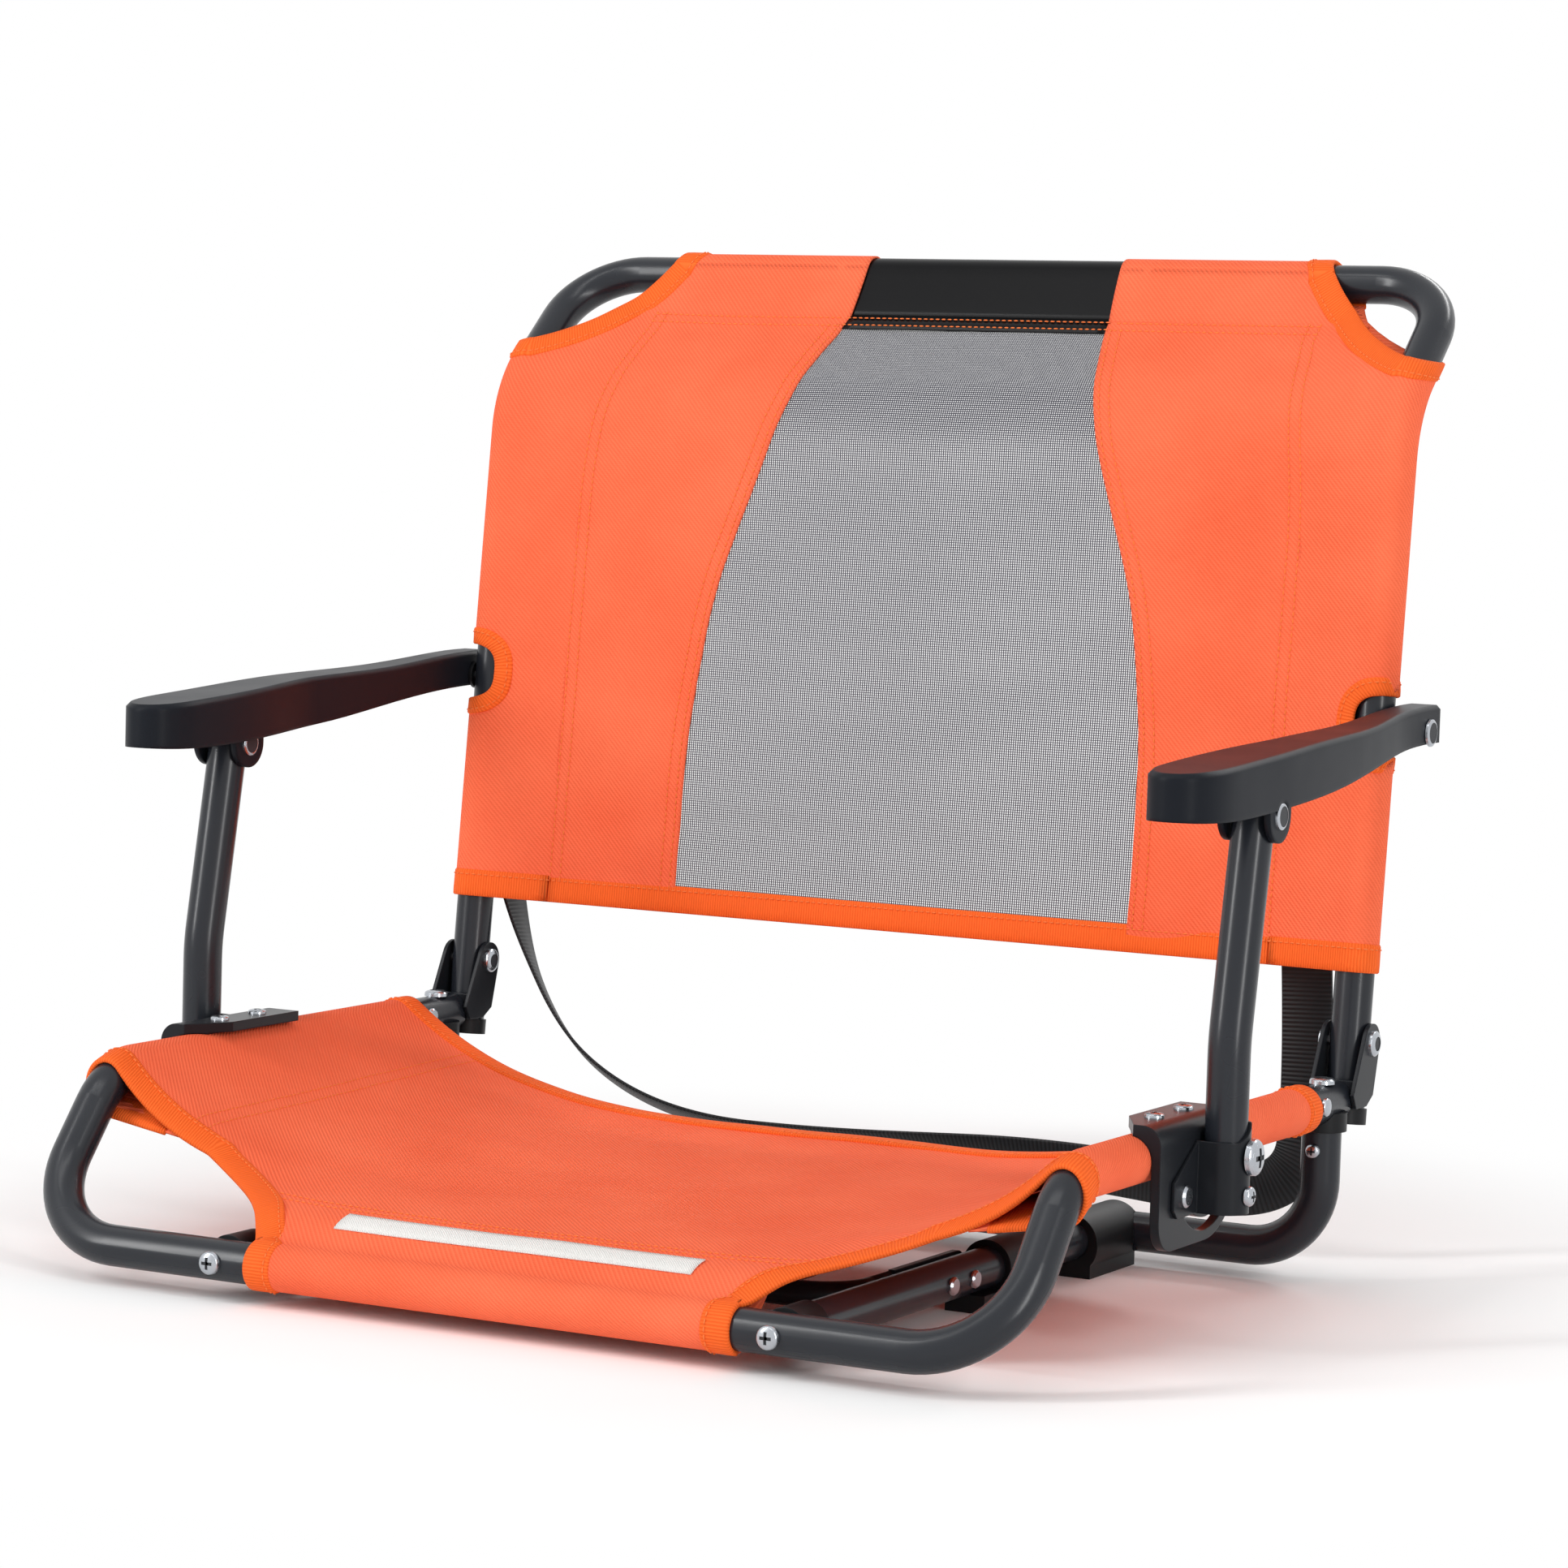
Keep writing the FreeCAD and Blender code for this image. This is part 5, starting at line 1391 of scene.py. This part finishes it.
@dataclass
class PhotoView:
    """The camera, the lamps and the floor."""

    focal_px: float = 5889.4
    frame_px: float = 1932.0
    middle_px: Flat = (965.2, 951.4)
    sensor: float = 36.0
    yaw: float = math.radians(28.35)
    pitch: float = math.radians(4.30)
    roll: float = math.radians(-1.69)
    place: Point = (1087.0, -1760.4, 388.45)
    fade: Flat = (0.28, 0.62)

    def camera(self) -> None:
        """Set the camera at the photo's angle."""
        lens = bpy.data.cameras.new("photo_camera")
        lens.sensor_width = self.sensor
        lens.sensor_fit = "HORIZONTAL"
        lens.lens = self.focal_px / self.frame_px * self.sensor
        lens.shift_x = (self.frame_px / 2 - self.middle_px[0]) / self.frame_px
        lens.shift_y = (self.middle_px[1] - self.frame_px / 2) / self.frame_px
        lens.clip_end = 50
        made = linked("photo_camera", lens)
        turns = ((self.yaw, "Z"), (math.pi / 2 - self.pitch, "X"), (-self.roll, "Z"))
        made.matrix_world = Matrix.Translation(placed(*self.place))
        for angle, axis in turns:
            made.matrix_world = made.matrix_world @ Matrix.Rotation(angle, 4, axis)
        bpy.context.scene.camera = made

    def lamp(self, name: str, place: Point, size: Flat, power: float) -> None:
        """Add a soft strip lamp aimed at the seat.

        Args:
            name: The lamp's name.
            place: Its place in metres.
            size: Its width and length in metres.
            power: Its power in watts.
        """
        light = bpy.data.lights.new(name, "AREA")
        light.shape = "RECTANGLE"
        light.size, light.size_y = size
        light.energy = power
        made = linked(name, light)
        made.location = place
        aim = Vector((0, 0, 0.2)) - Vector(place)
        made.rotation_euler = aim.to_track_quat("-Z", "Y").to_euler()

    def floor(self) -> None:
        """Add the white floor: it keeps the shadow, is plain white further out and clear from below."""
        mesh = bpy.data.meshes.new("floor")
        mesh.from_pydata([(-30, -30, 0), (30, -30, 0), (30, 30, 0), (-30, 30, 0)], [], [(0, 1, 2, 3)])
        material = bpy.data.materials.new("pale_floor")
        material.use_nodes = True
        tree = material.node_tree
        shader = tree.nodes["Principled BSDF"]
        shader.inputs["Base Color"].default_value = linear("#FFFFFF")
        shader.inputs["Roughness"].default_value = 0.9
        place = add_node(tree, "ShaderNodeTexCoord").outputs["Object"]
        reach = add_node(tree, "ShaderNodeVectorMath", {0: place}, operation="LENGTH").outputs["Value"]
        near, far = self.fade
        bounds = {"Value": reach, "From Min": near, "From Max": far}
        share = add_node(tree, "ShaderNodeMapRange", bounds, interpolation_type="SMOOTHSTEP")
        plain = add_node(tree, "ShaderNodeMath", {0: share, 1: self.seen(tree)}, operation="MULTIPLY")
        white = add_node(tree, "ShaderNodeEmission")
        upper = add_node(tree, "ShaderNodeMixShader", {0: plain, 1: shader, 2: white})
        below = add_node(tree, "ShaderNodeNewGeometry").outputs["Backfacing"]
        clear = add_node(tree, "ShaderNodeBsdfTransparent")
        mix = add_node(tree, "ShaderNodeMixShader", {0: below, 1: upper, 2: clear})
        tree.links.new(mix.outputs[0], tree.nodes["Material Output"].inputs["Surface"])
        mesh.materials.append(material)
        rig.stage(linked("floor", mesh))

    def seen(self, tree: Tree) -> Any:
        """Return a node that is 1 for rays that show the background: camera, mirror and glass rays."""
        path = add_node(tree, "ShaderNodeLightPath").outputs
        kinds = {0: path["Is Camera Ray"], 1: path["Is Glossy Ray"]}
        near = add_node(tree, "ShaderNodeMath", kinds, operation="MAXIMUM")
        kinds = {0: near, 1: path["Is Transmission Ray"]}
        return add_node(tree, "ShaderNodeMath", kinds, operation="MAXIMUM")

    def build(self) -> None:
        """Set up the camera, the world, the lamps and the floor."""
        self.camera()
        world = bpy.data.worlds.new("studio")
        world.use_nodes = True
        tree = world.node_tree
        back = tree.nodes["Background"]
        levels = {"Value": self.seen(tree), "To Min": 0.47, "To Max": 1.0}
        strength = add_node(tree, "ShaderNodeMapRange", levels)
        back.inputs["Color"].default_value = (1, 1, 1, 1)
        tree.links.new(strength.outputs[0], back.inputs["Strength"])
        bpy.context.scene.world = world
        bpy.context.scene.view_settings.view_transform = "Standard"
        self.lamp("left_strip", (-1.6, -2.0, 1.5), (0.34, 2.2), 44)
        self.lamp("right_strip", (2.6, -1.3, 1.1), (0.34, 2.2), 32)
        self.lamp("top_strip", (0.1, -0.9, 2.6), (2.4, 0.2), 10)
        self.lamp("rear_strip", (0.6, 2.2, 1.9), (2.0, 0.3), 18)
        self.floor()


def dress_cad(frame: dict[str, Any]) -> None:
    """Give every CAD node the finish of its material slot."""
    slots = {part["node"]: part["material_slot"] for part in frame["record"]["subparts"]}
    for name, made in frame["nodes"].items():
        made.data.materials.clear()
        made.data.materials.append(CAD_FINISHES[slots[name]].material())


def settle(piece: Object, body: str, slot: str, *nodes: str) -> Object:
    """Let a piece ride on a body, take a slot's finish and stand for CAD nodes.

    Args:
        piece: The finished piece.
        body: The body it moves with.
        slot: The record's material slot.
        nodes: The CAD nodes it stands for.

    Returns:
        The same piece.
    """
    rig.ride(piece, body)
    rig.slot(piece, slot)
    if nodes:
        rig.replaces(piece, *nodes)
    LOG.info("%s rides on %s", piece.name, body)
    return piece


def sew_on(
    sling: SeatSling | BackSling, name: str, body: str, stitches: StitchTree, faces: Sequence[int]
) -> list[Object]:
    """Make the tape and the stitches of a sling.

    Args:
        sling: The sling.
        name: What the pieces' names start with.
        body: The body they move with.
        stitches: The tree that lays the stitches.
        faces: The tape's stitched faces: 1 and -1 for the two sides.

    Returns:
        The tape and the stitches.
    """
    runs = sling.tape_runs()
    tape = settle(folded_tape(f"{name}_tape", runs), body, "orange_fabric")
    lines = sling.seam_lines() + [run.sewn(face * TAPE_THREAD_LIFT) for run in runs for face in faces]
    return [tape, settle(stitches.sew(f"{name}_stitches", lines), body, "orange_fabric")]


def build_seat(stitches: StitchTree) -> None:
    """Make the seat's cloth and what is sewn to it."""
    sling = SeatSling()
    cloth = settle(sling.build(), "seat_frame", "orange_fabric", "seat_sling")
    sewn = sew_on(sling, "seat", "seat_frame", stitches, (1,))
    patch = settle(sling.patch(), "seat_frame", "white_patch", "label_patch")
    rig.sheet(cloth, (0.70, 0.37), "stretched", ["seat_tube"], area=0.235, with_pieces=sewn)
    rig.sheet(patch, (0.184, 0.013), "laid", ["seat_cloth"])


def build_back(stitches: StitchTree) -> None:
    """Make the back's cloth and what is sewn to it."""
    sling = BackSling()
    mesh = settle(sling.mesh(), "back", "black_mesh", "mesh_panel")
    loop = settle(sling.mesh_loop(), "back", "black_mesh")
    sewn = sew_on(sling, "back", "back", stitches, (-1, 1))
    for side in Side:
        panel = settle(sling.panel(side), "back", "orange_fabric", f"back_panel_{side.name.lower()}")
        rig.sheet(panel, (0.26, 0.42), "stretched", ["back_tube"], area=0.09)
    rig.sheet(mesh, (0.28, 0.33), "stretched", ["back_tube"], area=0.085, with_pieces=sewn)
    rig.sheet(loop, (0.17, 0.10), "stretched", ["back_tube"])


def build_strap() -> None:
    """Make the carry strap."""
    strap = CarryStrap()
    band, points, length = strap.build()
    settle(band, "back", "black_webbing", "carry_strap")
    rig.cord(
        band, exit=points[0], length=length, diameter=strap.width / 1000, far_end="object", stiffness="limp",
        lay="hanging", path=points,
    )


def main() -> None:
    """Load the frame, dress it and make the soft pieces."""
    logging.basicConfig(level=logging.INFO)
    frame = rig.load()
    cad_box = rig.bounds()
    dress_cad(frame)
    PhotoView().build()
    stitches = StitchTree()
    build_seat(stitches)
    build_back(stitches)
    build_strap()
    for piece, body in Fasteners().build():
        settle(piece, body, "zinc_steel")
    with open("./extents.json", "w", encoding="utf-8") as out:
        json.dump({"cad": [list(p) for p in cad_box], "visual": [list(p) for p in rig.bounds()]}, out)


if __name__ == "__main__":
    main()
